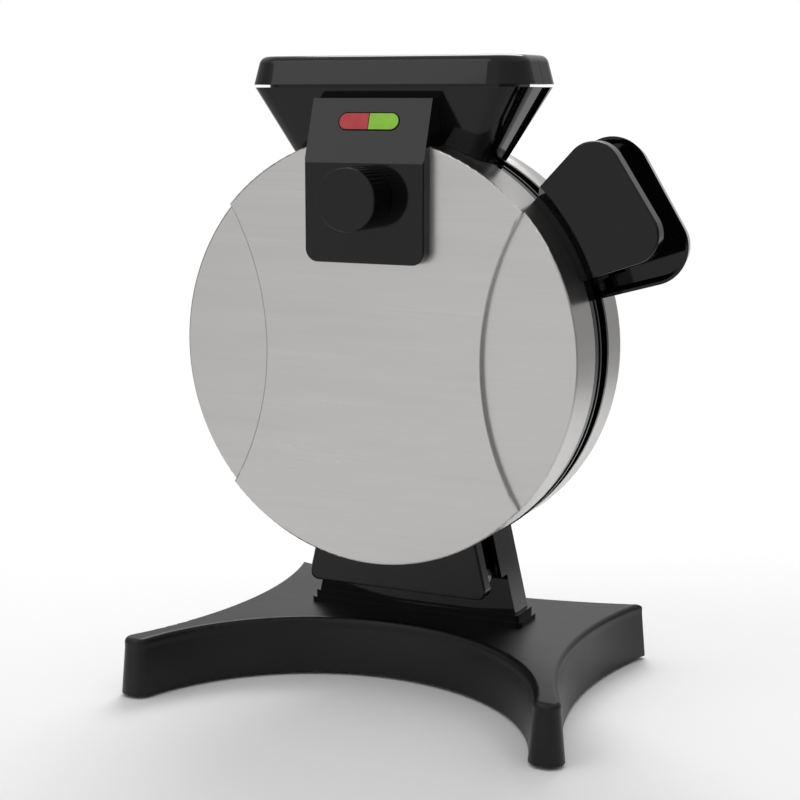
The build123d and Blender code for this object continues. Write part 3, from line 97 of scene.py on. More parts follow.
class NodeSheet:
    """A small helper that adds and joins shader nodes in one node tree."""

    def __init__(self, tree: bpy.types.NodeTree) -> None:
        """Starts an empty sheet.

        Args:
            tree: The node tree to fill.
        """
        self.tree = tree
        self.tree.nodes.clear()

    def add(self, kind: str, **values: Any) -> bpy.types.Node:
        """Adds a node and sets its properties.

        Args:
            kind: The node's type name.
            **values: Properties of the node.

        Returns:
            The new node.
        """
        node = self.tree.nodes.new(kind)
        for name, value in values.items():
            setattr(node, name, value)
        return node

    def join(self, start: bpy.types.NodeSocket, end: bpy.types.NodeSocket) -> None:
        """Links an output socket to an input socket."""
        self.tree.links.new(start, end)


class ShaderGroup:
    """A shader node group with named inputs and outputs, built once and placed many times."""

    def __init__(self, name: str, inputs: dict[str, float], outputs: tuple[str, ...]) -> None:
        """Makes the group and its sockets, which all carry plain values.

        Args:
            name: The group's name.
            inputs: Each input's name and its default value.
            outputs: Each output's name.
        """
        self.group = bpy.data.node_groups.new(name, "ShaderNodeTree")
        self.sheet = NodeSheet(self.group)
        for label, value in inputs.items():
            socket = self.group.interface.new_socket(
                name=label, in_out="INPUT", socket_type="NodeSocketFloat"
            )
            socket.default_value = value
        for label in outputs:
            self.group.interface.new_socket(
                name=label, in_out="OUTPUT", socket_type="NodeSocketFloat"
            )
        self.start = self.sheet.add("NodeGroupInput")
        self.end = self.sheet.add("NodeGroupOutput")

    def place(self, sheet: NodeSheet, **values: float) -> bpy.types.Node:
        """Places the group in a material.

        Args:
            sheet: The material's node sheet.
            **values: Input values, with underscores for the spaces in their names.

        Returns:
            The group node.
        """
        node = sheet.add("ShaderNodeGroup", node_tree=self.group)
        for name, value in values.items():
            node.inputs[name.replace("_", " ")].default_value = value
        return node


@dataclass
class Effects:
    """The surface effects that several finishes share, each a shader group."""

    noise_roughness: float = 0.55
    scratch_detail: float = 3.0
    belt_cloud_scales: Point = (14.0, 30.0, 90.0)
    belt_cloud_detail: float = 2.0
    belt_cloud_share: float = 0.35
    texture_detail: float = 2.0
    cloud_detail: float = 3.0
    smear_detail: float = 4.0
    speck_detail: float = 1.0
    speck_from: float = 0.58
    speck_to: float = 0.72
    dust_upward_from: float = 0.5

    def __post_init__(self) -> None:
        """Builds every shared group."""
        self.grain = self._grain()
        self.moulding = self._moulding()
        self.handling = self._handling()

    def _noise(
        self, group: ShaderGroup, scale: tuple[bpy.types.NodeSocket | float, ...], detail: float
    ) -> bpy.types.Node:
        """Adds a noise that reads Object coordinates scaled along X, Y and Z.

        Args:
            group: The group to add it to.
            scale: Sockets or numbers for the three scales.
            detail: The noise's detail.

        Returns:
            The noise node.
        """
        sheet = group.sheet
        place = sheet.add("ShaderNodeTexCoord")
        spread = sheet.add("ShaderNodeCombineXYZ")
        for index, value in enumerate(scale):
            if isinstance(value, float):
                spread.inputs[index].default_value = value
            else:
                sheet.join(value, spread.inputs[index])
        stretch = sheet.add("ShaderNodeVectorMath", operation="MULTIPLY")
        sheet.join(place.outputs["Object"], stretch.inputs[0])
        sheet.join(spread.outputs[0], stretch.inputs[1])
        noise = sheet.add("ShaderNodeTexNoise")
        noise.inputs["Scale"].default_value = 1.0
        noise.inputs["Detail"].default_value = detail
        noise.inputs["Roughness"].default_value = self.noise_roughness
        sheet.join(stretch.outputs[0], noise.inputs["Vector"])
        return noise

    def _grain(self) -> ShaderGroup:
        """Builds the grain that a brushing belt leaves: long fine scratches over slow clouds.

        Returns:
            A group whose outputs are a height for bump, and a shade around 0.5.
        """
        group = ShaderGroup(
            "Brushed grain",
            {"X scale": 6.0, "Y scale": 900.0, "Z scale": 900.0},
            ("Height", "Shade"),
        )
        sheet = group.sheet
        scales = tuple(group.start.outputs[name] for name in ("X scale", "Y scale", "Z scale"))
        scratches = self._noise(group, scales, self.scratch_detail)
        clouds = self._noise(group, self.belt_cloud_scales, self.belt_cloud_detail)
        mix = sheet.add("ShaderNodeMix", data_type="FLOAT")
        mix.inputs["Factor"].default_value = self.belt_cloud_share
        sheet.join(scratches.outputs["Fac"], mix.inputs["A"])
        sheet.join(clouds.outputs["Fac"], mix.inputs["B"])
        sheet.join(scratches.outputs["Fac"], group.end.inputs["Height"])
        sheet.join(mix.outputs["Result"], group.end.inputs["Shade"])
        return group

    def _moulding(self) -> ShaderGroup:
        """Builds the fine spark-eroded texture of a moulded plastic surface.

        Returns:
            A group whose outputs are a height for bump, and a shade around 0.5.
        """
        group = ShaderGroup(
            "Moulded texture",
            {"Grain scale": 1800.0, "Cloud scale": 25.0},
            ("Height", "Shade"),
        )
        fine = group.start.outputs["Grain scale"]
        slow = group.start.outputs["Cloud scale"]
        texture = self._noise(group, (fine, fine, fine), self.texture_detail)
        cloud = self._noise(group, (slow, slow, slow), self.cloud_detail)
        group.sheet.join(texture.outputs["Fac"], group.end.inputs["Height"])
        group.sheet.join(cloud.outputs["Fac"], group.end.inputs["Shade"])
        return group

    def _handling(self) -> ShaderGroup:
        """Builds faint smears and settled dust, which dull a glossy surface here and there.

        Returns:
            A group whose outputs are a smear mask, and a dust mask on faces that look up.
        """
        group = ShaderGroup(
            "Smears and dust",
            {"Smear scale": 18.0, "Speck scale": 900.0, "Dust": 0.15},
            ("Smear", "Dust"),
        )
        sheet = group.sheet
        slow = group.start.outputs["Smear scale"]
        fine = group.start.outputs["Speck scale"]
        smear = self._noise(group, (slow, slow, slow), self.smear_detail)
        speck = self._noise(group, (fine, fine, fine), self.speck_detail)
        surface = sheet.add("ShaderNodeNewGeometry")
        split = sheet.add("ShaderNodeSeparateXYZ")
        sheet.join(surface.outputs["Normal"], split.inputs[0])
        upward = sheet.add("ShaderNodeMapRange")
        upward.inputs["From Min"].default_value = self.dust_upward_from
        sheet.join(split.outputs["Z"], upward.inputs["Value"])
        cut = sheet.add("ShaderNodeMapRange")
        cut.inputs["From Min"].default_value = self.speck_from
        cut.inputs["From Max"].default_value = self.speck_to
        sheet.join(speck.outputs["Fac"], cut.inputs["Value"])
        settled = sheet.add("ShaderNodeMath", operation="MULTIPLY")
        sheet.join(upward.outputs[0], settled.inputs[0])
        sheet.join(cut.outputs[0], settled.inputs[1])
        amount = sheet.add("ShaderNodeMath", operation="MULTIPLY")
        sheet.join(settled.outputs[0], amount.inputs[0])
        sheet.join(group.start.outputs["Dust"], amount.inputs[1])
        sheet.join(smear.outputs["Fac"], group.end.inputs["Smear"])
        sheet.join(amount.outputs[0], group.end.inputs["Dust"])
        return group


@dataclass(frozen=True)
class Finish:
    """What every finish has: a name, a colour and how far its roughness wanders."""

    name: str
    colour: Colour
    low_roughness: float
    high_roughness: float

    def open_material(self) -> tuple[bpy.types.Material, NodeSheet, bpy.types.Node]:
        """Makes an empty material with a Principled shader joined to its output.

        Returns:
            The material, its node sheet and the Principled node.
        """
        material = bpy.data.materials.new(self.name)
        material.use_nodes = True
        sheet = NodeSheet(material.node_tree)
        output = sheet.add("ShaderNodeOutputMaterial")
        shader = sheet.add("ShaderNodeBsdfPrincipled")
        sheet.join(shader.outputs["BSDF"], output.inputs["Surface"])
        shader.inputs["Base Color"].default_value = self.colour
        return material, sheet, shader

    def vary_roughness(
        self, sheet: NodeSheet, shader: bpy.types.Node, mask: bpy.types.NodeSocket
    ) -> None:
        """Lets the roughness wander with a mask.

        Args:
            sheet: The material's node sheet.
            shader: Its Principled node.
            mask: A value around 0.5.
        """
        spread = sheet.add("ShaderNodeMapRange")
        spread.inputs["From Min"].default_value = MASK_LOW
        spread.inputs["From Max"].default_value = MASK_HIGH
        spread.inputs["To Min"].default_value = self.low_roughness
        spread.inputs["To Max"].default_value = self.high_roughness
        sheet.join(mask, spread.inputs["Value"])
        sheet.join(spread.outputs[0], shader.inputs["Roughness"])

    def vary_colour(
        self,
        sheet: NodeSheet,
        shader: bpy.types.Node,
        mask: bpy.types.NodeSocket,
        other: Colour,
        low: float = MASK_LOW,
        high: float = MASK_HIGH,
    ) -> bpy.types.Node:
        """Lets the colour wander to another with a mask.

        Args:
            sheet: The material's node sheet.
            shader: Its Principled node.
            mask: A value that picks between the two colours.
            other: The colour where the mask is high.
            low: The mask's value that still gives the first colour.
            high: The mask's value that gives the other colour in full.

        Returns:
            The Mix node.
        """
        spread = sheet.add("ShaderNodeMapRange")
        spread.inputs["From Min"].default_value = low
        spread.inputs["From Max"].default_value = high
        sheet.join(mask, spread.inputs["Value"])
        mix = sheet.add("ShaderNodeMix", data_type="RGBA")
        mix.inputs["A"].default_value = self.colour
        mix.inputs["B"].default_value = other
        sheet.join(spread.outputs[0], mix.inputs["Factor"])
        sheet.join(mix.outputs["Result"], shader.inputs["Base Color"])
        return mix

    @staticmethod
    def raise_surface(
        sheet: NodeSheet, shader: bpy.types.Node, height: bpy.types.NodeSocket, depth: float
    ) -> None:
        """Gives the surface relief from a height.

        Args:
            sheet: The material's node sheet.
            shader: Its Principled node.
            height: The height socket.
            depth: The relief's depth in metres.
        """
        bump = sheet.add("ShaderNodeBump")
        bump.inputs["Strength"].default_value = 1.0
        bump.inputs["Distance"].default_value = depth
        sheet.join(height, bump.inputs["Height"])
        sheet.join(bump.outputs["Normal"], shader.inputs["Normal"])


@dataclass(frozen=True)
class BrushedSteel(Finish):
    """Stainless sheet brushed with a belt, which stretches its highlights across the grain."""

    direction: Grain = Grain.ACROSS
    shade: float = 0.06
    relief: float = 0.000002
    streak: float = 0.5

    def build(self, effects: Effects) -> bpy.types.Material:
        """Builds the material.

        Args:
            effects: The shared groups.

        Returns:
            The material.
        """
        material, sheet, shader = self.open_material()
        shader.inputs["Metallic"].default_value = 1.0
        shader.inputs["Anisotropic"].default_value = self.streak
        along_x, along_y, along_z = self.direction.value
        grain = effects.grain.place(sheet, X_scale=along_x, Y_scale=along_y, Z_scale=along_z)
        dark = scaled(self.colour, 1 - self.shade)
        self.vary_colour(sheet, shader, grain.outputs["Shade"], dark)
        self.vary_roughness(sheet, shader, grain.outputs["Shade"])
        self.raise_surface(sheet, shader, grain.outputs["Height"], self.relief)
        return material


@dataclass(frozen=True)
class Plastic(Finish):
    """Moulded plastic or rubber, from mirror gloss to a matte texture, with a little dust."""

    grain_scale: float
    relief: float
    dust: float
    lift: float = 1.4
    shine: float = 0.3
    dust_colour: Colour = (0.3, 0.29, 0.27, 1.0)

    def build(self, effects: Effects) -> bpy.types.Material:
        """Builds the material.

        Args:
            effects: The shared groups.

        Returns:
            The material.
        """
        material, sheet, shader = self.open_material()
        shader.inputs["Specular IOR Level"].default_value = self.shine
        texture = effects.moulding.place(sheet, Grain_scale=self.grain_scale)
        handling = effects.handling.place(sheet, Dust=self.dust)
        pale = scaled(self.colour, self.lift)
        mix = self.vary_colour(sheet, shader, texture.outputs["Shade"], pale)
        dusty = sheet.add("ShaderNodeMix", data_type="RGBA")
        dusty.inputs["B"].default_value = self.dust_colour
        sheet.join(mix.outputs["Result"], dusty.inputs["A"])
        sheet.join(handling.outputs["Dust"], dusty.inputs["Factor"])
        sheet.join(dusty.outputs["Result"], shader.inputs["Base Color"])
        self.vary_roughness(sheet, shader, handling.outputs["Smear"])
        self.raise_surface(sheet, shader, texture.outputs["Height"], self.relief)
        return material


@dataclass(frozen=True)
class CastCoating(Finish):
    """Cast aluminium under a dark non-stick coat with pale flecks."""

    fleck: Colour = grey(0.22)
    fleck_from: float = 0.62
    fleck_to: float = 0.74
    metallic: float = 0.15
    grain_scale: float = 700.0
    cloud_scale: float = 40.0
    relief: float = 0.00004

    def build(self, effects: Effects) -> bpy.types.Material:
        """Builds the material.

        Args:
            effects: The shared groups.

        Returns:
            The material.
        """
        material, sheet, shader = self.open_material()
        shader.inputs["Metallic"].default_value = self.metallic
        texture = effects.moulding.place(
            sheet, Grain_scale=self.grain_scale, Cloud_scale=self.cloud_scale
        )
        self.vary_colour(
            sheet, shader, texture.outputs["Height"], self.fleck, self.fleck_from, self.fleck_to
        )
        self.vary_roughness(sheet, shader, texture.outputs["Shade"])
        self.raise_surface(sheet, shader, texture.outputs["Height"], self.relief)
        return material


@dataclass(frozen=True)
class BareMetal(Finish):
    """Turned, drawn or plated metal with faint cloudy tarnish."""

    tarnish: Colour = (0.3, 0.29, 0.27, 1.0)
    tarnish_from: float = 0.45
    tarnish_to: float = 0.8
    grain_scale: float = 1200.0
    cloud_scale: float = 120.0
    relief: float = 0.000008

    def build(self, effects: Effects) -> bpy.types.Material:
        """Builds the material.

        Args:
            effects: The shared groups.

        Returns:
            The material.
        """
        material, sheet, shader = self.open_material()
        shader.inputs["Metallic"].default_value = 1.0
        texture = effects.moulding.place(
            sheet, Grain_scale=self.grain_scale, Cloud_scale=self.cloud_scale
        )
        self.vary_colour(
            sheet,
            shader,
            texture.outputs["Shade"],
            self.tarnish,
            self.tarnish_from,
            self.tarnish_to,
        )
        self.vary_roughness(sheet, shader, texture.outputs["Shade"])
        self.raise_surface(sheet, shader, texture.outputs["Height"], self.relief)
        return material


@dataclass(frozen=True)
class TintedLens(Finish):
    """Tinted plastic over a lamp, seen as one even colour, or the frosted lamp itself."""

    glow: float = 0.0
    shine: float = 0.2
    deepening: float = 0.85
    grain_scale: float = 600.0
    cloud_scale: float = 160.0

    def build(self, effects: Effects) -> bpy.types.Material:
        """Builds the material.

        Args:
            effects: The shared groups.

        Returns:
            The material.
        """
        material, sheet, shader = self.open_material()
        shader.inputs["Emission Strength"].default_value = self.glow
        shader.inputs["Emission Color"].default_value = self.colour
        shader.inputs["Specular IOR Level"].default_value = self.shine
        texture = effects.moulding.place(
            sheet, Grain_scale=self.grain_scale, Cloud_scale=self.cloud_scale
        )
        deep = scaled(self.colour, self.deepening)
        self.vary_colour(sheet, shader, texture.outputs["Shade"], deep)
        self.vary_roughness(sheet, shader, texture.outputs["Shade"])
        return material


class Wardrobe:
    """Gives every CAD node and every modelled piece its finish."""

    def __init__(self, effects: Effects) -> None:
        """Builds the finishes and says which nodes wear them.

        Args:
            effects: The shared groups.
        """
        gloss = Plastic(
            "Gloss black plastic", (0.003, 0.003, 0.0031, 1.0), 0.05, 0.1,
            grain_scale=900.0, relief=0.000001, dust=0.02,
        )
        satin = Plastic(
            "Satin black plastic", (0.0035, 0.0035, 0.0036, 1.0), 0.05, 0.09,
            grain_scale=2200.0, relief=0.000001, dust=0.02,
        )
        matte = Plastic(
            "Matte black plastic", (0.004, 0.004, 0.0041, 1.0), 0.3, 0.38,
            grain_scale=2200.0, relief=0.000006, dust=0.03,
        )
        rubber = Plastic(
            "Soft rubber", grey(0.02), 0.6, 0.8,
            grain_scale=1500.0, relief=0.00002, dust=0.1,
        )
        board = Plastic(
            "Circuit board", (0.03, 0.16, 0.06, 1.0), 0.35, 0.5,
            grain_scale=800.0, relief=0.00001, dust=0.0,
        )
        ceramic = Plastic(
            "Pale moulding", (0.42, 0.36, 0.27, 1.0), 0.4, 0.6,
            grain_scale=900.0, relief=0.00001, dust=0.0,
        )
        steel = BrushedSteel("Brushed steel", (0.578, 0.568, 0.557, 1.0), 0.27, 0.33)
        coating = CastCoating("Non-stick coating", (0.018, 0.018, 0.02, 1.0), 0.32, 0.5)
        screws = BareMetal("Zinc-plated steel", grey(0.5), 0.2, 0.4)
        tube = BareMetal("Heat-darkened tube", (0.16, 0.14, 0.12, 1.0), 0.35, 0.55)
        bright = BareMetal("Bright aluminium", grey(0.7), 0.22, 0.4)
        brass = BareMetal("Brass", (0.72, 0.52, 0.24, 1.0), 0.18, 0.35)
        glass = TintedLens("Frosted lamp", (0.8, 0.8, 0.75, 1.0), 0.2, 0.3, glow=0.05)
        red = TintedLens("Red lens", (0.6, 0.055, 0.065, 1.0), 0.2, 0.3)
        green = TintedLens("Green lens", (0.325, 0.72, 0.055, 1.0), 0.2, 0.3)
        self.outfits = {
            gloss: ("front_housing", "rear_housing", "front_funnel", "rear_funnel", "front_rim",
                    "rear_rim", "pedestal"),
            satin: ("control_hood", "knob", "front_handle", "rear_handle"),
            matte: ("base_shell", "base_cover"),
            rubber: ("rubber_feet", "cord_bush"),
            board: ("lamp_board",),
            ceramic: ("thermostat",),
            steel: ("front_shell", "rear_shell"),
            coating: ("front_plate", "rear_plate"),
            screws: ("base_screws", "pedestal_screws", "neck_screws", "hinge_pin", "pin_clips",
                     "front_plate_screws", "rear_plate_screws", "front_reflector_screws",
                     "rear_reflector_screws", "front_funnel_screws", "rear_funnel_screws",
                     "front_handle_screws", "rear_handle_screws", "hood_screws", "catch_clip",
                     "control_shaft"),
            tube: ("front_heater", "rear_heater"),
            bright: ("front_reflector", "rear_reflector", "thermal_fuse"),
            brass: ("hinge_bushes", "thermostat_nut"),
            glass: ("indicator_lamps",),
            red: ("red_lens",),
            green: ("green_lens",),
        }
        # Near-black and barely shiny, for the band round the lamp windows: painted shade where
        # the gap there is in shadow.
        self.gap_shade = Plastic(
            "Painted gap shade", grey(0.0015), 0.5, 0.6,
            grain_scale=1500.0, relief=0.000004, dust=0.0, shine=0.05,
        )
        self.materials = {
            finish: finish.build(effects) for finish in (*self.outfits, self.gap_shade)
        }

    def dress_nodes(self, nodes: dict[str, bpy.types.Object]) -> None:
        """Puts each finish on its nodes.

        Args:
            nodes: The CAD nodes by name.
        """
        for finish, names in self.outfits.items():
            for name in names:
                self.dress(nodes[name], finish)

    def dress(self, piece: bpy.types.Object, finish: Finish) -> None:
        """Puts one finish on a piece and reports it.

        Args:
            piece: A CAD node or a modelled piece.
            finish: One of the finishes that were built.
        """
        slots = piece.data.materials
        slots.clear()
        slots.append(self.materials[finish])
        LOG.info("%s wears %s", piece.name, finish.name)


@dataclass
class LampWindow:
    """A thin dark band round the two lamp windows, with its bar between red and green: painted
    shade that stands in for the shadowed gap round the windows.
    """

    rim_width: float = 0.0006
    bar_width: float = 0.00045
    rise: float = 0.00055
    softening: float = 0.00012
    ring_steps: int = 48
    facing: Point = (0.0, -1.0, 0.3)
    facing_weight: float = 10.0
    forward_limit: float = -0.5
    flatness: float = 0.00002

    def build(self, nodes: dict[str, bpy.types.Object]) -> bpy.types.Object:
        """Models the band of painted shade and seats it round the windows on the hood's leaning
        face.

        Args:
            nodes: The CAD nodes by name.

        Returns:
            The finished gasket.
        """
        seat, width, height = self._seat(nodes["red_lens"], nodes["green_lens"])
        rim = self._rim(width, height)
        bar = self._bar(height)
        clear_selection()
        bar.select_set(True)
        rim.select_set(True)
        bpy.context.view_layer.objects.active = rim
        bpy.ops.object.join()
        rim.name = "lamp_window_shade_band"
        rim.matrix_world = seat
        bpy.ops.object.transform_apply(location=True, rotation=True, scale=True)
        soften(rim, self.softening)
        LOG.info("%s built", rim.name)
        return rim

    def _seat(
        self, red: bpy.types.Object, green: bpy.types.Object
    ) -> tuple[Matrix, float, float]:
        """Finds the windows' outer face and their size on it.

        Args:
            red: The red window's node.
            green: The green window's node.

        Returns:
            The face's frame with its normal as Z, and the windows' width and height there.
        """
        facing = Vector(self.facing)
        front = max(
            (face for face in red.data.polygons if face.normal.y < self.forward_limit),
            key=lambda face: face.normal.dot(facing) * self.facing_weight - face.center.y,
        )
        normal = front.normal.copy()
        level = max(normal.dot(corner.co) for corner in red.data.vertices)
        flat = [
            corner.co.copy()
            for node in (red, green)
            for corner in node.data.vertices
            if level - normal.dot(corner.co) < self.flatness
        ]
        across = Vector((1.0, 0.0, 0.0))
        upward = normal.cross(across)
        spans = [[point.dot(way) for point in flat] for way in (across, upward)]
        (left, right), (low, high) = [(min(span), max(span)) for span in spans]
        centre = across * (left + right) / 2 + upward * (low + high) / 2 + normal * level
        frame = Matrix((across, upward, normal)).transposed().to_4x4()
        frame.translation = centre
        return frame, right - left, high - low

    def _rim(self, width: float, height: float) -> bpy.types.Object:
        """Models the rim: a round plate pulled out to a slot, hollowed and thickened.

        Args:
            width: The windows' width.
            height: The windows' height.

        Returns:
            The rim, flat at the origin.
        """
        clear_selection()
        bpy.ops.mesh.primitive_circle_add(
            vertices=self.ring_steps,
            radius=height / 2 + self.rim_width,
            fill_type="NGON",
            rotation=(0.0, 0.0, math.pi / self.ring_steps),
        )
        rim = bpy.context.object
        bpy.ops.object.transform_apply(location=False, rotation=True, scale=False)
        reach = (width - height) / 2
        for side in (-1.0, 1.0):
            bpy.ops.object.mode_set(mode="EDIT")
            bpy.ops.mesh.select_all(action="DESELECT")
            bpy.ops.object.mode_set(mode="OBJECT")
            for corner in rim.data.vertices:
                corner.select = corner.co.x * side > 0
            bpy.ops.object.mode_set(mode="EDIT")
            bpy.ops.transform.translate(value=(side * reach, 0.0, 0.0))
            bpy.ops.object.mode_set(mode="OBJECT")
        bpy.ops.object.mode_set(mode="EDIT")
        bpy.ops.mesh.select_mode(type="FACE")
        bpy.ops.mesh.select_all(action="SELECT")
        bpy.ops.mesh.inset(thickness=self.rim_width, depth=0.0)
        bpy.ops.mesh.delete(type="FACE")
        bpy.ops.mesh.select_all(action="SELECT")
        bpy.ops.mesh.extrude_region_move(
            TRANSFORM_OT_translate={"value": (0.0, 0.0, -self.rise)}
        )
        bpy.ops.mesh.select_all(action="SELECT")
        bpy.ops.mesh.normals_make_consistent(inside=False)
        bpy.ops.object.mode_set(mode="OBJECT")
        return rim

    def _bar(self, height: float) -> bpy.types.Object:
        """Models the bar between the two windows.

        Args:
            height: The windows' height.

        Returns:
            The bar, flat at the origin.
        """
        clear_selection()
        bpy.ops.mesh.primitive_cube_add(size=1.0)
        bar = bpy.context.object
        bar.dimensions = (self.bar_width, height, self.rise)
        bar.location = (0.0, 0.0, (self.softening - self.rise) / 2)
        bpy.ops.object.transform_apply(location=True, rotation=True, scale=True)
        return bar


@dataclass(frozen=True)
class Wall:
    """A tone that the studio takes on towards one side."""

    axis: Axis
    starts: float
    full: float
    tone: Colour


@dataclass(frozen=True)
class Lamp:
    """A round soft lamp: where it hangs, how wide it is in metres and its watts."""

    name: str
    place: Point
    size: float
    power: float


@dataclass
class Studio:
    """A pale floor that fades into white, soft lamps and the photograph's camera."""

    camera_at: Point = (0.399569, -0.850574, 0.326533)
    camera_pitch: float = 0.17430561
    camera_turn: float = 0.43970657
    camera_near: float = 0.01
    sensor_width: float = 36.0
    lens: float = 77.4866
    floor_size: float = 12.0
    floor_drop: float = 0.0002
    floor_colour: Colour = grey(0.93)
    floor_mirrored_share: float = 0.0
    fade_from: float = 0.22
    fade_to: float = 1.0
    aim: Point = (0.0, 0.0, 0.2)
    mirrored_share: float = 0.3
    front_tone: Colour = (0.8, 0.8, 0.81, 1.0)
    walls: tuple[Wall, ...] = (
        Wall(Axis.Y, 0.2, 0.9, grey(0.45)),
        Wall(Axis.Z, 0.0, -0.35, grey(0.86)),
        Wall(Axis.X, 0.1, 0.45, grey(0.0)),
        Wall(Axis.X, -0.55, -0.85, grey(0.07)),
        Wall(Axis.Z, 0.1, 0.8, grey(0.79)),
    )
    lamps: tuple[Lamp, ...] = (
        Lamp("key", (-0.3, 1.0, 1.4), 1.0, 13.0),
        Lamp("softbox", (-0.55, -0.78, 1.1), 0.7, 1.6),
    )

    def build(self) -> None:
        """Makes the floor, the world, the lamps and the camera."""
        self._floor()
        self._world()
        self._lamps()
        self._camera()

    def _floor(self) -> None:
        """Makes the floor, which keeps shadows near the maker and turns white far away."""
        clear_selection()
        bpy.ops.mesh.primitive_plane_add(
            size=self.floor_size, location=(0.0, 0.0, -self.floor_drop)
        )
        floor = bpy.context.object
        floor.name = "floor"
        material = bpy.data.materials.new("Studio floor")
        material.use_nodes = True
        sheet = NodeSheet(material.node_tree)
        output = sheet.add("ShaderNodeOutputMaterial")
        paint = sheet.add("ShaderNodeBsdfDiffuse")
        paint.inputs["Color"].default_value = self.floor_colour
        white = sheet.add("ShaderNodeEmission")
        nothing = sheet.add("ShaderNodeBsdfTransparent")
        far = sheet.add("ShaderNodeMixShader")
        sheet.join(background_rays(sheet, self.floor_mirrored_share), far.inputs["Fac"])
        sheet.join(nothing.outputs[0], far.inputs[1])
        sheet.join(white.outputs[0], far.inputs[2])
        place = sheet.add("ShaderNodeTexCoord")
        reach = sheet.add("ShaderNodeVectorMath", operation="LENGTH")
        fade = sheet.add("ShaderNodeMapRange", interpolation_type="SMOOTHSTEP")
        fade.inputs["From Min"].default_value = self.fade_from
        fade.inputs["From Max"].default_value = self.fade_to
        blend = sheet.add("ShaderNodeMixShader")
        sheet.join(place.outputs["Object"], reach.inputs[0])
        sheet.join(reach.outputs["Value"], fade.inputs["Value"])
        sheet.join(fade.outputs[0], blend.inputs["Fac"])
        sheet.join(paint.outputs[0], blend.inputs[1])
        sheet.join(far.outputs[0], blend.inputs[2])
        sheet.join(blend.outputs[0], output.inputs["Surface"])
        floor.data.materials.append(material)

    def _world(self) -> None:
        """Makes the white background, and a pale studio with dark sides that lights the maker."""
        world = bpy.data.worlds.new("Studio world")
        bpy.context.scene.world = world
        world.use_nodes = True
        sheet = NodeSheet(world.node_tree)
        output = sheet.add("ShaderNodeOutputWorld")
        light = sheet.add("ShaderNodeBackground")
        sheet.join(self._wall_tones(sheet), light.inputs["Color"])
        backdrop = sheet.add("ShaderNodeBackground")
        backdrop.inputs["Color"].default_value = grey(1.0)
        blend = sheet.add("ShaderNodeMixShader")
        sheet.join(background_rays(sheet, self.mirrored_share), blend.inputs["Fac"])
        sheet.join(light.outputs[0], blend.inputs[1])
        sheet.join(backdrop.outputs[0], blend.inputs[2])
        sheet.join(blend.outputs[0], output.inputs["Surface"])

    def _wall_tones(self, sheet: NodeSheet) -> bpy.types.NodeSocket:
        """Blends the front tone into each wall's tone in turn, by a ray's direction.

        Args:
            sheet: The world's node sheet.

        Returns:
            The colour socket.
        """
        place = sheet.add("ShaderNodeTexCoord")
        split = sheet.add("ShaderNodeSeparateXYZ")
        sheet.join(place.outputs["Generated"], split.inputs[0])
        tone = None
        for wall in self.walls:
            reach = sheet.add("ShaderNodeMapRange", interpolation_type="SMOOTHSTEP")
            reach.inputs["From Min"].default_value = wall.starts
            reach.inputs["From Max"].default_value = wall.full
            sheet.join(split.outputs[wall.axis.value], reach.inputs["Value"])
            mix = sheet.add("ShaderNodeMix", data_type="RGBA")
            mix.inputs["A"].default_value = self.front_tone
            mix.inputs["B"].default_value = wall.tone
            if tone is not None:
                sheet.join(tone, mix.inputs["A"])
            sheet.join(reach.outputs[0], mix.inputs["Factor"])
            tone = mix.outputs["Result"]
        return tone

    def _lamps(self) -> None:
        """Hangs the lamps, each turned towards the maker."""
        for lamp in self.lamps:
            away = Vector(lamp.place) - Vector(self.aim)
            turn = away.to_track_quat("Z", "Y").to_euler()
            bpy.ops.object.light_add(type="AREA", location=lamp.place, rotation=turn)
            light = bpy.context.object
            light.name = lamp.name
            light.data.shape = "DISK"
            light.data.size = lamp.size
            light.data.energy = lamp.power

    def _camera(self) -> None:
        """Sets the camera that was fitted to the photograph."""
        bpy.ops.object.camera_add(
            location=self.camera_at,
            rotation=(math.pi / 2 - self.camera_pitch, 0.0, self.camera_turn),
        )
        camera = bpy.context.object
        camera.data.sensor_width = self.sensor_width
        camera.data.lens = self.lens
        camera.data.clip_start = self.camera_near
        scene = bpy.context.scene
        scene.camera = camera
        scene.view_settings.view_transform = "Standard"


def background_rays(sheet: NodeSheet, mirrored_share: float) -> bpy.types.NodeSocket:
    """Marks the rays that see the white background: the camera's, and those off metal and glass.

    Args:
        sheet: The node sheet to add it to.
        mirrored_share: How much of the background a glossy ray sees.

    Returns:
        A mask from 0 to 1.
    """
    ray = sheet.add("ShaderNodeLightPath")
    mirrored = sheet.add("ShaderNodeMath", operation="MULTIPLY_ADD", use_clamp=True)
    mirrored.inputs[1].default_value = mirrored_share
    sheet.join(ray.outputs["Is Glossy Ray"], mirrored.inputs[0])
    sheet.join(ray.outputs["Is Camera Ray"], mirrored.inputs[2])
    seen = sheet.add("ShaderNodeMath", operation="ADD", use_clamp=True)
    sheet.join(mirrored.outputs[0], seen.inputs[0])
    sheet.join(ray.outputs["Is Transmission Ray"], seen.inputs[1])
    return seen.outputs[0]


def clear_selection() -> None:
    """Deselects everything, so that the next operator acts on the new piece alone."""
    bpy.ops.object.select_all(action="DESELECT")


def soften(piece: bpy.types.Object, width: float) -> None:
    """Rounds a piece's edges and shades its shallow ones smooth.

    Args:
        piece: The piece.
        width: The rounding's width in metres.
    """
    clear_selection()
    piece.select_set(True)
    bpy.context.view_layer.objects.active = piece
    bevel = piece.modifiers.new("edges", "BEVEL")
    bevel.width = width
    bevel.segments = EDGE_SEGMENTS
    bevel.limit_method = "ANGLE"
    bpy.ops.object.modifier_apply(modifier=bevel.name)
    bpy.ops.object.shade_smooth_by_angle(angle=SMOOTH_ANGLE)


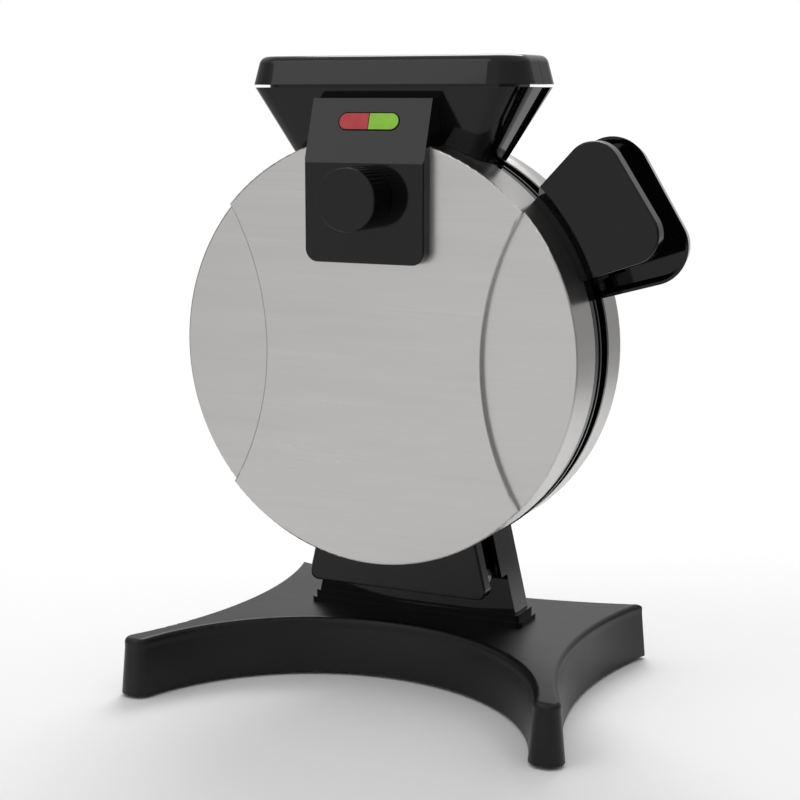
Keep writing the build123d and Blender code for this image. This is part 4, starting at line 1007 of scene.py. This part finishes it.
def main() -> None:
    """Loads the frame, dresses it, adds the dark band of painted gap shade round the lamp windows
    and builds the studio.
    """
    logging.basicConfig(level=logging.INFO, format="%(message)s")
    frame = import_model()
    wardrobe = Wardrobe(Effects())
    wardrobe.dress_nodes(frame["nodes"])
    # The band round the lamp windows is painted shade: a dark piece where only the gap's shadow
    # lies.
    shade_band = LampWindow().build(frame["nodes"])
    wardrobe.dress(shade_band, wardrobe.gap_shade)
    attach(shade_band, "lid")
    Studio().build()


if __name__ == "__main__":
    main()
